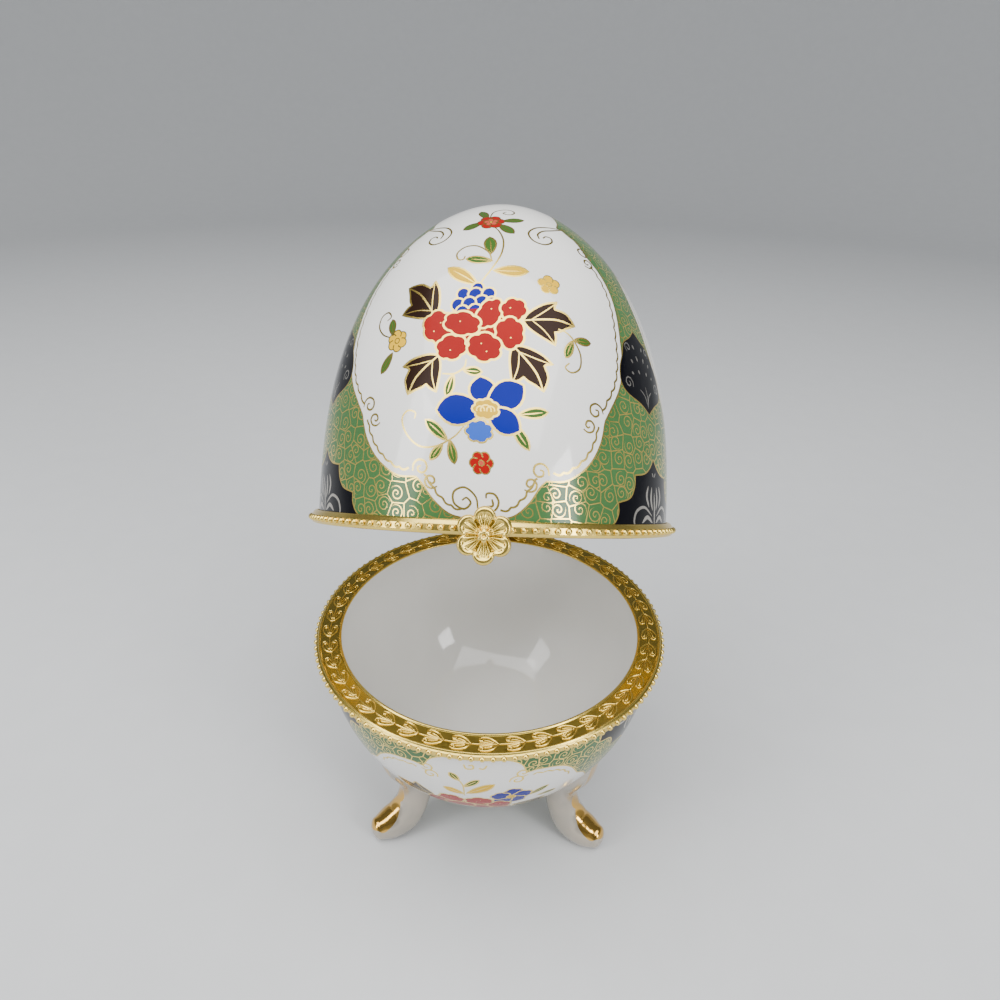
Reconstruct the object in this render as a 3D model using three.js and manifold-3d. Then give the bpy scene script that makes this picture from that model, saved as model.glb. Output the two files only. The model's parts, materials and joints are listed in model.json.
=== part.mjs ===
// Egg-shaped porcelain trinket box on three feet, with gilt brass collars and a hinged lid.
// Millimetres, +Z up, front towards -Y. It stands on z = 0 with its lid held open.
import * as THREE from 'three';
import { mergeVertices } from 'three/addons/utils/BufferGeometryUtils.js';
import Module from 'manifold-3d';

const wasm = await Module();
wasm.setup();

// Driving dimensions
const lidOpening = 30; // degrees that the lid stands open
const meetingHeight = 63; // the plane where the closed lid meets the bowl, above the table
const axisY = -8.15; // the egg's upright axis; with it the open box is centred on the origin
const shellRadius = 40.2; // outside of the porcelain where the two halves meet
const bowlDepth = 46.3; // from the meeting plane down to the bowl's underside
const lidHeight = 75.3; // from the meeting plane up to the lid's crown
const wall = 3.4; // porcelain wall
const gap = 0.3; // room left between pieces that touch

const rimSetback = 0.95; // porcelain rim to meeting plane, taken up by the collar's flange
const sheet = 0.5; // brass of a collar's flange
const collarBore = 35.9; // inner lip of both collars
const beadCount = 120; // beads round each collar
const beadReach = 42.5; // how far out the beads stand

const hingeReach = 46; // the pin's axis, behind the egg's axis and in the meeting plane
const hingeLength = 14;
const middleKnuckle = 5.8; // length of the lid's knuckle, between the bowl's two
const knuckleRadius = 1.3;
const pinRadius = 0.6;
const pinPlay = 0.1; // between the pin and its bores, on the radius
const pinOverhang = 0.3; // the pin's ends past the outer knuckles
const boreOverrun = 2; // a knuckle's bore is cut this far past its ends

// How round each half of the egg is: the powers of height and of radius in its outline.
const bowlRound = { height: 2.04, radius: 2 };
const lidRound = { height: 2.7, radius: 1.757 };

const roundSteps = 48; // facets round the porcelain
const bowlSteps = 11; // facets from rim to pole, outside and in
const lidSteps = 12;

// Solids

const twist = (degrees) => THREE.MathUtils.degToRad(degrees);

function solidOf(geometry) {
  const bare = geometry.clone();
  bare.deleteAttribute('normal');
  bare.deleteAttribute('uv');
  const merged = mergeVertices(bare, 1e-4);
  const corners = merged.index.array;
  const triVerts = [];
  for (let i = 0; i < corners.length; i += 3) {
    const [a, b, c] = [corners[i], corners[i + 1], corners[i + 2]];
    if (a !== b && b !== c && c !== a) triVerts.push(a, b, c);
  }
  return new wasm.Manifold(new wasm.Mesh({
    numProp: 3,
    vertProperties: new Float32Array(merged.attributes.position.array),
    triVerts: new Uint32Array(triVerts),
  }));
}

function geometryOf(solid) {
  const { vertProperties, triVerts } = solid.getMesh();
  const geometry = new THREE.BufferGeometry();
  geometry.setAttribute('position', new THREE.BufferAttribute(vertProperties, 3));
  geometry.setIndex(new THREE.BufferAttribute(triVerts, 1));
  geometry.computeVertexNormals();
  return geometry;
}

function meshOf(name, geometry, material) {
  const mesh = new THREE.Mesh(geometry, material);
  mesh.name = name;
  return mesh;
}

// Turned about the upright axis from [radius, height] points, the outer side going up.
function turned(profile, steps) {
  const points = profile.map(([radius, height]) => new THREE.Vector2(radius, height));
  return solidOf(new THREE.LatheGeometry(points, steps).rotateX(Math.PI / 2));
}

function block(width, depth, height, x, y, z) {
  return solidOf(new THREE.BoxGeometry(width, depth, height).translate(x, y, z));
}

function rodAlongX(radius, length, x, y, z) {
  const rod = new THREE.CylinderGeometry(radius, radius, length, 16).rotateZ(Math.PI / 2);
  return solidOf(rod.translate(x, y, z));
}

// A tube through rings of points, with a point at each end. Each ring runs anticlockwise as
// seen from the end.
function loft(start, rings, end) {
  const count = rings[0].length;
  const positions = [start, ...rings.flat(), end].flatMap((point) => point.toArray());
  const last = rings.length * count + 1;
  const at = (ring, k) => 1 + ring * count + (k % count);
  const faces = [];
  for (let k = 0; k < count; k++) {
    faces.push(0, at(0, k + 1), at(0, k));
    faces.push(last, at(rings.length - 1, k), at(rings.length - 1, k + 1));
    for (let ring = 0; ring + 1 < rings.length; ring++) {
      faces.push(at(ring, k), at(ring, k + 1), at(ring + 1, k + 1));
      faces.push(at(ring, k), at(ring + 1, k + 1), at(ring + 1, k));
    }
  }
  const geometry = new THREE.BufferGeometry();
  geometry.setAttribute('position', new THREE.Float32BufferAttribute(positions, 3));
  geometry.setIndex(faces);
  return geometry;
}

// Porcelain

// Points of half an egg's outline, from a distance off the meeting plane to the pole.
function eggCurve(radius, height, round, from, steps) {
  const first = Math.asin(from / height);
  return Array.from({ length: steps + 1 }, (_, i) => {
    const rise = Math.sin(first + ((Math.PI / 2 - first) * i) / steps);
    const reach = i === steps ? 0 : (1 - rise ** round.height) ** (1 / round.radius);
    return [radius * reach, height * rise];
  });
}

// Both curves of a half's wall, each from its rim to its pole.
function wallCurves(height, round, steps) {
  return {
    outside: eggCurve(shellRadius, height, round, rimSetback, steps),
    inside: eggCurve(shellRadius - wall, height - wall, round, rimSetback, steps - 1),
  };
}

const upsideDown = (profile) => profile.map(([radius, height]) => [radius, -height]).reverse();

// A foot's stations from the bowl's wall to the tip of the toe: how far out from the axis and
// up from the table its middle is, and its half width and half thickness there.
const footStations = [
  { out: 26.0, up: 37.0, wide: 9.0, thick: 5.6 },
  { out: 23.8, up: 26.5, wide: 6.8, thick: 6.2 },
  { out: 21.6, up: 18.0, wide: 4.7, thick: 4.5 },
  { out: 22.3, up: 11.0, wide: 4.4, thick: 4.3 },
  { out: 25.4, up: 5.4, wide: 4.4, thick: 5.0 },
  { out: 29.6, up: 3.7, wide: 4.2, thick: 4.3 },
  { out: 32.8, up: 3.3, wide: 3.0, thick: 3.1 },
];
const footTip = 34.6; // the toe's furthest point
const footSunk = 10; // more than a foot's stations reach below the table
const footSides = 12;
const footRings = 12;
// The feet are stuck on by hand: their places round the axis, in degrees, and each one's setting out.
const feet = [
  { turn: -150, outward: 0 },
  { turn: -27, outward: 0.9 },
  { turn: 91, outward: 0.4 },
];

function footSolid() {
  const path = new THREE.CatmullRomCurve3(
    footStations.map(({ out, up }) => new THREE.Vector3(out, 0, up)));
  const girth = new THREE.CatmullRomCurve3(
    footStations.map(({ wide, thick }) => new THREE.Vector3(wide, thick, 0)));
  const across = new THREE.Vector3(0, 1, 0);
  const rings = Array.from({ length: footRings }, (_, i) => {
    const along = i / (footRings - 1);
    const [middle, size] = [path.getPoint(along), girth.getPoint(along)];
    const inward = across.clone().cross(path.getTangent(along));
    return Array.from({ length: footSides }, (__, k) => {
      const angle = (2 * Math.PI * k) / footSides;
      return middle.clone()
        .addScaledVector(inward, size.y * Math.cos(angle))
        .addScaledVector(across, size.x * Math.sin(angle));
    });
  });
  const tip = new THREE.Vector3(footTip, 0, footStations.at(-1).up);
  return loft(path.getPoint(0), rings, tip);
}

function bowlGeometry() {
  const { outside, inside } = wallCurves(bowlDepth, bowlRound, bowlSteps);
  const standing = (curve) => {
    const profile = upsideDown([[0, curve[0][1]], ...curve]);
    return turned(profile.map(([radius, height]) => [radius, height + meetingHeight]), roundSteps);
  };
  const hollow = standing([[inside[0][0], 0], ...inside]); // runs out past the rim
  let bowl = standing(outside);
  for (const { turn, outward } of feet) {
    bowl = bowl.add(solidOf(footSolid().translate(outward, 0, 0).rotateZ(twist(turn))));
  }
  // Everything below the table is cut off, which leaves the soles flat.
  const below = block(4 * shellRadius, 4 * shellRadius, footSunk, 0, 0, -footSunk / 2);
  return geometryOf(bowl.subtract(hollow).subtract(below));
}

function lidGeometry() {
  const { outside, inside } = wallCurves(lidHeight, lidRound, lidSteps);
  return geometryOf(turned([...outside, ...inside.reverse(), outside[0]], roundSteps));
}

// Collars

// Closed outlines about the meeting plane, as [radius, height], and the band with the beads.
const flangeFace = gap / 2; // half the room between the closed collars
const skirtBore = shellRadius + gap;

const bowlCollar = {
  profile: [
    [collarBore, -flangeFace],
    [collarBore, -flangeFace - sheet],
    [skirtBore, -flangeFace - sheet],
    [skirtBore + 0.1, -2.5],
    [41.85, -1.85],
    [41.85, -0.45],
    [41.4, -flangeFace],
  ],
  beadBand: 4,
};

const lidCollar = {
  profile: [
    [collarBore, flangeFace],
    [41.3, flangeFace],
    [41.7, 0.75],
    [41.7, 2.05],
    [41.0, 3.0],
    [skirtBore, 3.0],
    [skirtBore, flangeFace + sheet],
    [collarBore, flangeFace + sheet],
  ],
  beadBand: 2,
};

// A ring with one facet to each bead: the beads are four-sided studs on one band of it.
function collarGeometry({ profile, beadBand }) {
  const size = profile.length;
  const positions = [];
  const faces = [];
  const put = (radius, turn, height) => {
    positions.push(radius * Math.cos(turn), radius * Math.sin(turn), height);
    return positions.length / 3 - 1;
  };
  const step = (2 * Math.PI) / beadCount;
  for (let k = 0; k < beadCount; k++) {
    for (const [radius, height] of profile) put(radius, k * step, height);
  }
  const at = (k, j) => (k % beadCount) * size + (j % size);
  const beadHeight = (profile[beadBand][1] + profile[beadBand + 1][1]) / 2;
  for (let k = 0; k < beadCount; k++) {
    for (let j = 0; j < size; j++) {
      const [a, b, c, d] = [at(k, j), at(k + 1, j), at(k + 1, j + 1), at(k, j + 1)];
      if (j === beadBand) {
        const peak = put(beadReach, (k + 0.5) * step, beadHeight);
        faces.push(a, b, peak, b, c, peak, c, d, peak, d, a, peak);
      } else {
        faces.push(a, b, c, a, c, d);
      }
    }
  }
  const geometry = new THREE.BufferGeometry();
  geometry.setAttribute('position', new THREE.Float32BufferAttribute(positions, 3));
  geometry.setIndex(faces);
  return geometryOf(solidOf(geometry));
}

// The six-petalled rosette that closes over both collars at the front

const rosette = {
  back: beadReach + gap, // its flat back, in front of the egg's axis
  aside: 0.5, // its centre against the egg's axis
  middle: 0.3, // and against the meeting plane
  petals: 6,
  ribs: 3, // on each petal
  petalCentre: 3.35, // centre and radius of the circle that rounds a petal
  petalRadius: 2.05,
  edge: 0.6, // thickness at the rim
  dimple: 0.3, // depth at the very middle
};
// From the middle out: share of the petal's reach, height off the back, and depth of the flutes.
const rosetteRings = [
  { share: 0.12, height: 1.9, flute: 0 },
  { share: 0.25, height: 1.2, flute: 0 },
  { share: 0.34, height: 1.05, flute: 0.1 },
  { share: 0.66, height: 1.45, flute: 0.3 },
  { share: 0.93, height: 1.35, flute: 0.2 },
  { share: 1, height: rosette.edge, flute: 0 },
  { share: 1, height: 0, flute: 0 },
];

function petalReach(turn) {
  const { petalCentre, petalRadius, petals } = rosette;
  const span = (2 * Math.PI) / petals;
  const off = turn - span * Math.round(turn / span);
  return petalCentre * Math.cos(off) + Math.sqrt(petalRadius ** 2 - (petalCentre * Math.sin(off)) ** 2);
}

function rosetteGeometry() {
  const steps = rosette.petals * rosette.ribs * 2;
  const rings = rosetteRings.map(({ share, height, flute }) =>
    Array.from({ length: steps }, (_, k) => {
      const turn = (2 * Math.PI * k) / steps;
      const reach = share * petalReach(turn);
      const sunk = k % 2 ? flute : 0; // every second station lies in a flute
      return new THREE.Vector3(reach * Math.cos(turn), reach * Math.sin(turn), sunk - height);
    }));
  const dimple = new THREE.Vector3(0, 0, rosette.dimple - rosetteRings[0].height);
  const shape = loft(dimple, rings, new THREE.Vector3(0, 0, 0));
  shape.rotateZ(Math.PI / 2).rotateX(-Math.PI / 2); // one petal upright, the face to the front
  return geometryOf(solidOf(shape.translate(rosette.aside, -rosette.back, rosette.middle)));
}

// Hinge: a leaf on each collar, with its knuckles on a common pin behind the meeting plane

const leafFront = beadReach + gap;
const leafSheet = 0.8;
const leafDrop = 0.4; // each leaf starts this far from the meeting plane
const leafHeight = 2.2;
const outerKnuckle = (hingeLength - middleKnuckle) / 2 - gap;

// One leaf, for knuckles at the given places along the pin; side is 1 above the meeting plane.
function leafSolid(side, knuckles, length) {
  const plateMiddle = side * (leafDrop + leafHeight / 2);
  let leaf = block(hingeLength, leafSheet, leafHeight, 0, leafFront + leafSheet / 2, plateMiddle);
  const armDepth = hingeReach - leafFront;
  const armHeight = knuckleRadius - leafDrop;
  const armMiddle = side * (leafDrop + armHeight / 2);
  for (const x of knuckles) {
    leaf = leaf.add(block(length, armDepth, armHeight, x, leafFront + armDepth / 2, armMiddle));
    leaf = leaf.add(rodAlongX(knuckleRadius, length, x, hingeReach, 0));
  }
  return leaf.subtract(rodAlongX(pinRadius + pinPlay, hingeLength + 2 * boreOverrun, 0, hingeReach, 0));
}

// The whole box

const finish = (color, roughness, metalness) =>
  new THREE.MeshStandardMaterial({ color, roughness, metalness });
const porcelain = () => finish(0xece9e4, 0.15, 0);
const gilt = () => finish(0xd9a72e, 0.25, 1);

const bowlBody = new THREE.Group();
const outerPlace = (hingeLength - outerKnuckle) / 2;
const bowlLeaf = leafSolid(-1, [-outerPlace, outerPlace], outerKnuckle);
const pin = rodAlongX(pinRadius, hingeLength + 2 * pinOverhang, 0, hingeReach, 0);
const bowlMetal = [
  meshOf('bowl_collar', collarGeometry(bowlCollar), gilt()),
  meshOf('hinge_bowl_leaf', geometryOf(bowlLeaf), gilt()),
  meshOf('hinge_pin', geometryOf(pin), gilt()),
];
for (const piece of bowlMetal) piece.position.z = meetingHeight;
bowlBody.add(meshOf('porcelain_bowl', bowlGeometry(), porcelain()), ...bowlMetal);

// The lid's pieces are shaped as closed, then turned open together about the pin.
const lidBody = new THREE.Group();
lidBody.add(
  meshOf('porcelain_lid', lidGeometry(), porcelain()),
  meshOf('lid_collar', collarGeometry(lidCollar), gilt()),
  meshOf('rosette_clasp', rosetteGeometry(), gilt()),
  meshOf('hinge_lid_leaf', geometryOf(leafSolid(1, [0], middleKnuckle)), gilt()),
);
for (const piece of lidBody.children) piece.position.y = -hingeReach;
lidBody.position.set(0, hingeReach, meetingHeight);
lidBody.rotation.x = twist(-lidOpening);

const box = new THREE.Group();
box.add(bowlBody, lidBody);
box.position.y = axisY;

export default box;
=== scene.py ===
import json
import math
import bmesh
import bpy
import numpy as np
from mathutils import Matrix, Vector
from mathutils.geometry import delaunay_2d_cdt


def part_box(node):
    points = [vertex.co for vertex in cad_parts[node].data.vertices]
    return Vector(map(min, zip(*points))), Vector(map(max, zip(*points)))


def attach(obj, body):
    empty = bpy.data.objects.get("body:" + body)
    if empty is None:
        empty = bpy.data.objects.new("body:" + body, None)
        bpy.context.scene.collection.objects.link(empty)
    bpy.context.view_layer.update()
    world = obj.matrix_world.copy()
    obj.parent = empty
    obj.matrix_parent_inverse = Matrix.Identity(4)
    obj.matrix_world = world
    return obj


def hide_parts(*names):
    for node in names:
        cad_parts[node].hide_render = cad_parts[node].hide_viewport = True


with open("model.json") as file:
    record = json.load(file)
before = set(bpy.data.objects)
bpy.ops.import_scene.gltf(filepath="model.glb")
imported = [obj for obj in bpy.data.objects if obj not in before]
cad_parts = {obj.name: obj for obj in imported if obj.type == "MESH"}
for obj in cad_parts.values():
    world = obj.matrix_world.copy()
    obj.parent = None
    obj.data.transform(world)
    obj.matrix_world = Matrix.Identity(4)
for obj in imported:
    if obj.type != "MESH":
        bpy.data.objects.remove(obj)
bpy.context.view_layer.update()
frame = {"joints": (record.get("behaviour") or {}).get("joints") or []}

print("egg box: frame loaded")

# Lengths are millimetres, measured from the egg's upright axis and from the plane where
# its halves meet. The matrices asBowl and asLid take them into the frame's metres.
mm = 0.001
collarLow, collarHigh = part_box("bowl_collar")
hinge = frame["joints"][0]
pin = Vector(hinge["pos_m"])
opening = -hinge["range_deg"][0]  # degrees that the lid stands open
middle = Vector(((collarLow.x + collarHigh.x) / 2, (collarLow.y + collarHigh.y) / 2, pin.z))
asBowl = Matrix.Translation(middle) @ Matrix.Scale(mm, 4)
turnOpen = Matrix.Rotation(-math.radians(opening), 4, "X")
asLid = Matrix.Translation(pin) @ turnOpen @ Matrix.Translation(-pin) @ asBowl

egg = {
    "wall": 3.4,
    "rimSetback": 0.95,  # rim to meeting plane
    "lid": {"radius": 40.2, "height": 75.3, "powers": (2.7, 1.757), "side": 1},
    "bowl": {"radius": 40.2, "height": 46.3, "powers": (2.04, 2.0), "side": -1},
}



def newMesh(name, points, faces, smooth=True, reliefShade=None):
    mesh = bpy.data.meshes.new(name)
    mesh.from_pydata([tuple(p) for p in points], [], [tuple(f) for f in faces])
    mesh.polygons.foreach_set("use_smooth", [smooth] * len(mesh.polygons))
    # the relief share is painted shade for the gilt metal: low in recesses, high on what stands up
    if reliefShade is not None:
        mesh.attributes.new("reliefShade", "FLOAT", "POINT").data.foreach_set("value", reliefShade)
    mesh.update()
    return mesh


def newPiece(name, mesh, body, replaced, materials=(), matrix=None):
    if matrix is not None:
        mesh.transform(matrix)
    mesh.name = name
    piece = bpy.data.objects.new(name, mesh)
    bpy.context.scene.collection.objects.link(piece)
    for material in materials:
        mesh.materials.append(material)
    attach(piece, body)
    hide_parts(*replaced)
    return piece


def joined(meshes):
    # one mesh of several, each bringing its own materials
    whole = bmesh.new()
    slots = []
    for mesh in meshes:
        shift = {}
        for i, material in enumerate(mesh.materials):
            if material not in slots:
                slots.append(material)
            shift[i] = slots.index(material)
        before = len(whole.faces)
        whole.from_mesh(mesh)
        whole.faces.ensure_lookup_table()
        for face in whole.faces[before:]:
            face.material_index = shift.get(face.material_index, 0)
    result = bpy.data.meshes.new("joined")
    whole.to_mesh(result)
    whole.free()
    for material in slots:
        result.materials.append(material)
    return result


def smoothPath(points, steps=6, closed=False):
    # a Catmull-Rom curve through the points
    p = np.array(points, float)
    if closed:
        p = np.vstack([p[-1], p, p[:2]])
    else:
        p = np.vstack([2 * p[0] - p[1], p, 2 * p[-1] - p[-2]])
    spans = []
    for a, b, c, d in zip(p, p[1:], p[2:], p[3:]):
        t = np.linspace(0, 1, steps, endpoint=False)[:, None]
        spans.append(0.5 * (2 * b + (c - a) * t + (2 * a - 5 * b + 4 * c - d) * t ** 2
                            + (3 * b - a - 3 * c + d) * t ** 3))
    if not closed:
        spans.append(p[-2:-1])
    return np.vstack(spans)


def lathe(profile, steps, closed=True):
    # turns a loop of (radius, height) points about the upright axis; the loop runs
    # anticlockwise when the radius is drawn to the right, so its faces look outwards
    points, faces = [], []
    size = len(profile)
    for k in range(steps):
        turn = 2 * math.pi * k / steps
        for r, z in profile:
            points.append((r * math.cos(turn), r * math.sin(turn), z))
    for k in range(steps):
        here, there = k * size, (k + 1) % steps * size
        for j in range(size if closed else size - 1):
            n = (j + 1) % size
            faces.append((here + j, there + j, there + n, here + n))
    return points, faces


def roundedLoop(points, radius, steps=4):
    # a closed outline with its corners rounded
    loop = []
    count = len(points)
    for i, point in enumerate(points):
        here = np.array(point[:2], float)
        r = point[2] if len(point) > 2 else radius
        before = np.array(points[i - 1][:2], float) - here
        after = np.array(points[(i + 1) % count][:2], float) - here
        lb, la = np.linalg.norm(before), np.linalg.norm(after)
        half = math.acos(np.clip(before @ after / lb / la, -1, 1)) / 2
        cut = min(r / max(math.tan(half), 1e-6), 0.48 * lb, 0.48 * la)
        if cut < 1e-4 or abs(half - math.pi / 2) < 0.02:
            loop.append(tuple(here))
            continue
        a, b = here + before / lb * cut, here + after / la * cut
        for t in np.linspace(0, 1, steps + 1):
            loop.append(tuple((1 - t) ** 2 * a + 2 * t * (1 - t) * here + t * t * b))
    return loop


def tube(path, radii, sides=6, flat=1.0):
    # a closed tube along a path in the plane of the flange; flat squeezes its height
    points, faces = [], []
    p = np.array(path, float)
    ahead = np.gradient(p, axis=0)
    ahead /= np.linalg.norm(ahead, axis=1)[:, None]
    up = np.array((0.0, 0.0, 1.0))
    for here, tangent, r in zip(p, ahead, radii):
        side = np.cross(up, tangent)
        for k in range(sides):
            turn = 2 * math.pi * (k + 0.5) / sides
            points.append(here + side * r * math.cos(turn) + up * r * flat * math.sin(turn))
    rows = len(p)
    for i in range(rows - 1):
        for k in range(sides):
            n = (k + 1) % sides
            faces.append((i * sides + k, i * sides + n, (i + 1) * sides + n, (i + 1) * sides + k)[::-1])
    faces.append(tuple(range(sides)))
    faces.append(tuple(range((rows - 1) * sides, rows * sides))[::-1])
    return points, faces



def eggOutline(half, inset=0.0, first=0.0, steps=1600):
    # arc length, radius, height and outward normal from the meeting plane to the pole
    radius, height = half["radius"] - inset, half["height"] - inset
    p, q = half["powers"]
    rise = np.sin(np.linspace(math.asin(first / height), math.pi / 2, steps))
    r = radius * np.clip(1 - rise ** p, 0, 1) ** (1 / q)
    z = height * rise
    s = np.concatenate([[0], np.cumsum(np.hypot(np.diff(r), np.diff(z)))])
    dr, dz = np.gradient(r, s), np.gradient(z, s)
    length = np.hypot(dr, dz)
    return {"s": s, "r": r, "z": z, "nr": dz / length, "nz": -dr / length, "side": half["side"]}


def along(outline, s, *keys):
    return [np.interp(s, outline["s"], outline[key]) for key in keys]


def skinNormals(mesh, outline, lining, opened):
    # glazed walls get the true normals of the egg's curve, so reflections run smooth
    skin = np.zeros(len(mesh.polygons), int)
    mesh.attributes["skin"].data.foreach_get("value", skin)
    inverse = opened.inverted()
    points = np.array([tuple(inverse @ v.co) for v in mesh.vertices])
    height = np.abs(points[:, 2])
    turn = np.arctan2(points[:, 1], points[:, 0])
    spin = opened.to_3x3().normalized()
    walls = []
    for curve, sign in ((outline, 1), (lining, -1)):
        nr = sign * np.interp(height, curve["z"], curve["nr"])
        nz = sign * curve["side"] * np.interp(height, curve["z"], curve["nz"])
        local = np.stack([nr * np.cos(turn), nr * np.sin(turn), nz], 1)
        walls.append(local @ np.array(spin).T)
    own = np.zeros((len(points), 3))
    for polygon in mesh.polygons:
        if skin[polygon.index] == 3:
            own[list(polygon.vertices)] += np.array(polygon.normal) * polygon.area
    normals = np.zeros((len(mesh.loops), 3))
    for polygon in mesh.polygons:
        kind = skin[polygon.index]
        for loop in polygon.loop_indices:
            vertex = mesh.loops[loop].vertex_index
            if kind < 2:
                normals[loop] = walls[kind][vertex]
            elif kind == 2:
                normals[loop] = polygon.normal
            else:
                normals[loop] = own[vertex]
    normals /= np.maximum(np.linalg.norm(normals, axis=1), 1e-9)[:, None]
    mesh.normals_split_custom_set([tuple(n) for n in normals])


# The decoration is laid out on a chart of (azimuth in degrees, arc length from the meeting
# plane in millimetres). It repeats three times round, so one third is drawn and turned.
decal = {
    "repeats": 3,
    "gridTurn": 2.5,
    "gridStep": 2.2,
    "chartScale": 0.6,  # millimetres to a degree on the flat chart
    "lean": 0.12,  # degrees that the transfer leans to the left for each millimetre up
    "leanTop": 40,
}


def paintedSkin(outline, shapes):
    # shapes are (paint, polygon) in painting order; returns chart points, triangles, paints
    half = 180 / decal["repeats"]
    top = outline["s"][-1]
    k = decal["chartScale"]
    points, faces = [(-half * k, 0), (half * k, 0), (half * k, top), (-half * k, top)], [[0, 1, 2, 3]]
    for i in range(int(top / decal["gridStep"]) + 1):
        s = i * decal["gridStep"]
        reach = along(outline, s, "r")[0]
        wanted = 2 * half / decal["gridTurn"]
        count = int(wanted) if reach > 12 else int(wanted / 2) if reach > 5 else int(wanted / 4)
        for j in range(count + 1):
            points.append(((2 * j / count - 1) * half * k, s))
    paints = [0]
    for paint, polygon in shapes:
        flat = [(a * k, s) for a, s in polygon]
        area = sum(a[0] * b[1] - a[1] * b[0] for a, b in zip(flat, flat[1:] + flat[:1]))
        if area < 0:
            flat.reverse()
        faces.append(list(range(len(points), len(points) + len(flat))))
        points.extend(flat)
        paints.append(paint)
    found = delaunay_2d_cdt([Vector(p) for p in points], [], faces, 0, 1e-5, True)
    chart = np.array([(p.x / k, p.y) for p in found[0]])
    triangles, colours = [], []
    for triangle, sources in zip(found[2], found[5]):
        if 0 in sources:
            triangles.append(triangle)
            colours.append(paints[max(sources)])
    return chart, triangles, colours


def shellMesh(name, half, shapes, opened):
    # the painted outer skin, the rim and the lining, closed
    outline = eggOutline(half)
    rimAt = float(np.interp(egg["rimSetback"], outline["z"], outline["s"]))
    lining = eggOutline(half, egg["wall"], egg["rimSetback"], 400)
    chart, triangles, colours = paintedSkin(outline, shapes)
    top = outline["s"][-1]
    side = half["side"]
    period = 360 / decal["repeats"]
    keys, points, faces, slots, skin, maps = {}, [], [], [], [], []

    def put(a, s):
        key = ("pole",) if s > top - 1e-4 else (round(a % 360, 3) % 360, round(s, 4))
        if key not in keys:
            keys[key] = len(points)
            lean = -decal["lean"] * min(s, decal["leanTop"])
            r, z = along(outline, max(s, rimAt), "r", "z")
            r = 0 if key == ("pole",) else r
            turn = math.radians(a + lean)
            points.append((r * math.sin(turn), -r * math.cos(turn), side * z))
        return keys[key]

    for copy in range(decal["repeats"]):
        for triangle, colour in zip(triangles, colours):
            corners = [put(chart[i][0] + copy * period, chart[i][1]) for i in triangle]
            if len(set(corners)) < 3:
                continue
            half3 = math.copysign(period / 2, sum(chart[i][0] for i in triangle))
            flat = [(math.radians(chart[i][0] - half3) * along(outline, chart[i][1], "r")[0],
                     chart[i][1]) for i in triangle]
            if side < 0:
                corners.reverse()
                flat.reverse()
            faces.append(corners)
            slots.append(colour)
            skin.append(0)
            maps.extend(flat)
    rim = sorted((key[0], index) for key, index in keys.items() if key[0] != "pole" and key[1] == 0)
    rows = 22
    ring = [index for _, index in rim]
    count = len(ring)
    for row in range(rows + 1):
        depth = lining["s"][-1] * row / rows
        r, z = along(lining, depth, "r", "z")
        last = row == rows
        start = len(points)
        if last:
            points.append((0, 0, side * z))
            inner = [start] * count
        else:
            for turn, _ in rim:
                t = math.radians(turn)
                points.append((r * math.sin(t), -r * math.cos(t), side * z))
            inner = list(range(start, start + count))
        for k in range(count):
            n = (k + 1) % count
            face = [ring[n], ring[k], inner[k], inner[n]] if side > 0 else [ring[k], ring[n],
                inner[n], inner[k]]
            if last:
                face = [v for i, v in enumerate(face) if v != face[i - 1]]
            faces.append(face)
            slots.append(0)
            skin.append(2 if row == 0 else 1)
            maps.extend([(0, 0)] * len(face))
        ring = inner
    mesh = newMesh(name, points, faces)
    mesh.polygons.foreach_set("material_index", slots)
    mesh.attributes.new("skin", "INT", "FACE").data.foreach_set("value", skin)
    layer = mesh.uv_layers.new(name="glazeMap")
    layer.data.foreach_set("uv", np.array(maps, float).ravel())
    mesh.transform(opened)
    return mesh, outline, lining


# The feet, from the bowl's wall to the tip of the toe: how far out and up (above the table)
# the middle of each station is, and its half width and half thickness.
foot = {
    "stations": [
        (26.0, 37.0, 9.0, 5.6), (23.8, 26.5, 6.8, 6.2), (21.6, 18.0, 4.7, 4.5), (22.3, 11.0, 4.4, 4.3),
        (25.4, 5.4, 4.4, 5.0), (29.6, 3.7, 4.2, 4.3), (32.8, 3.3, 3.0, 3.1),
    ],
    "tip": 34.6,
    "sides": 48,
    "steps": 9,  # rings between two stations
    "capRings": 8,
    "easing": 4,
    "places": [(-150, 0.0), (-27, 0.9), (91, 0.4)],  # turn about the axis, setting out
    "nail": (30.4, 4.1, 3.35, 3.2),  # middle and half length going out, half width, lowest edge
    # the drop is partly a painted reflection of the gilt toe
    "drop": (15.6, 4.4, 1.5, 24.0),  # middle and half length going up, half width, innermost edge
}


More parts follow.
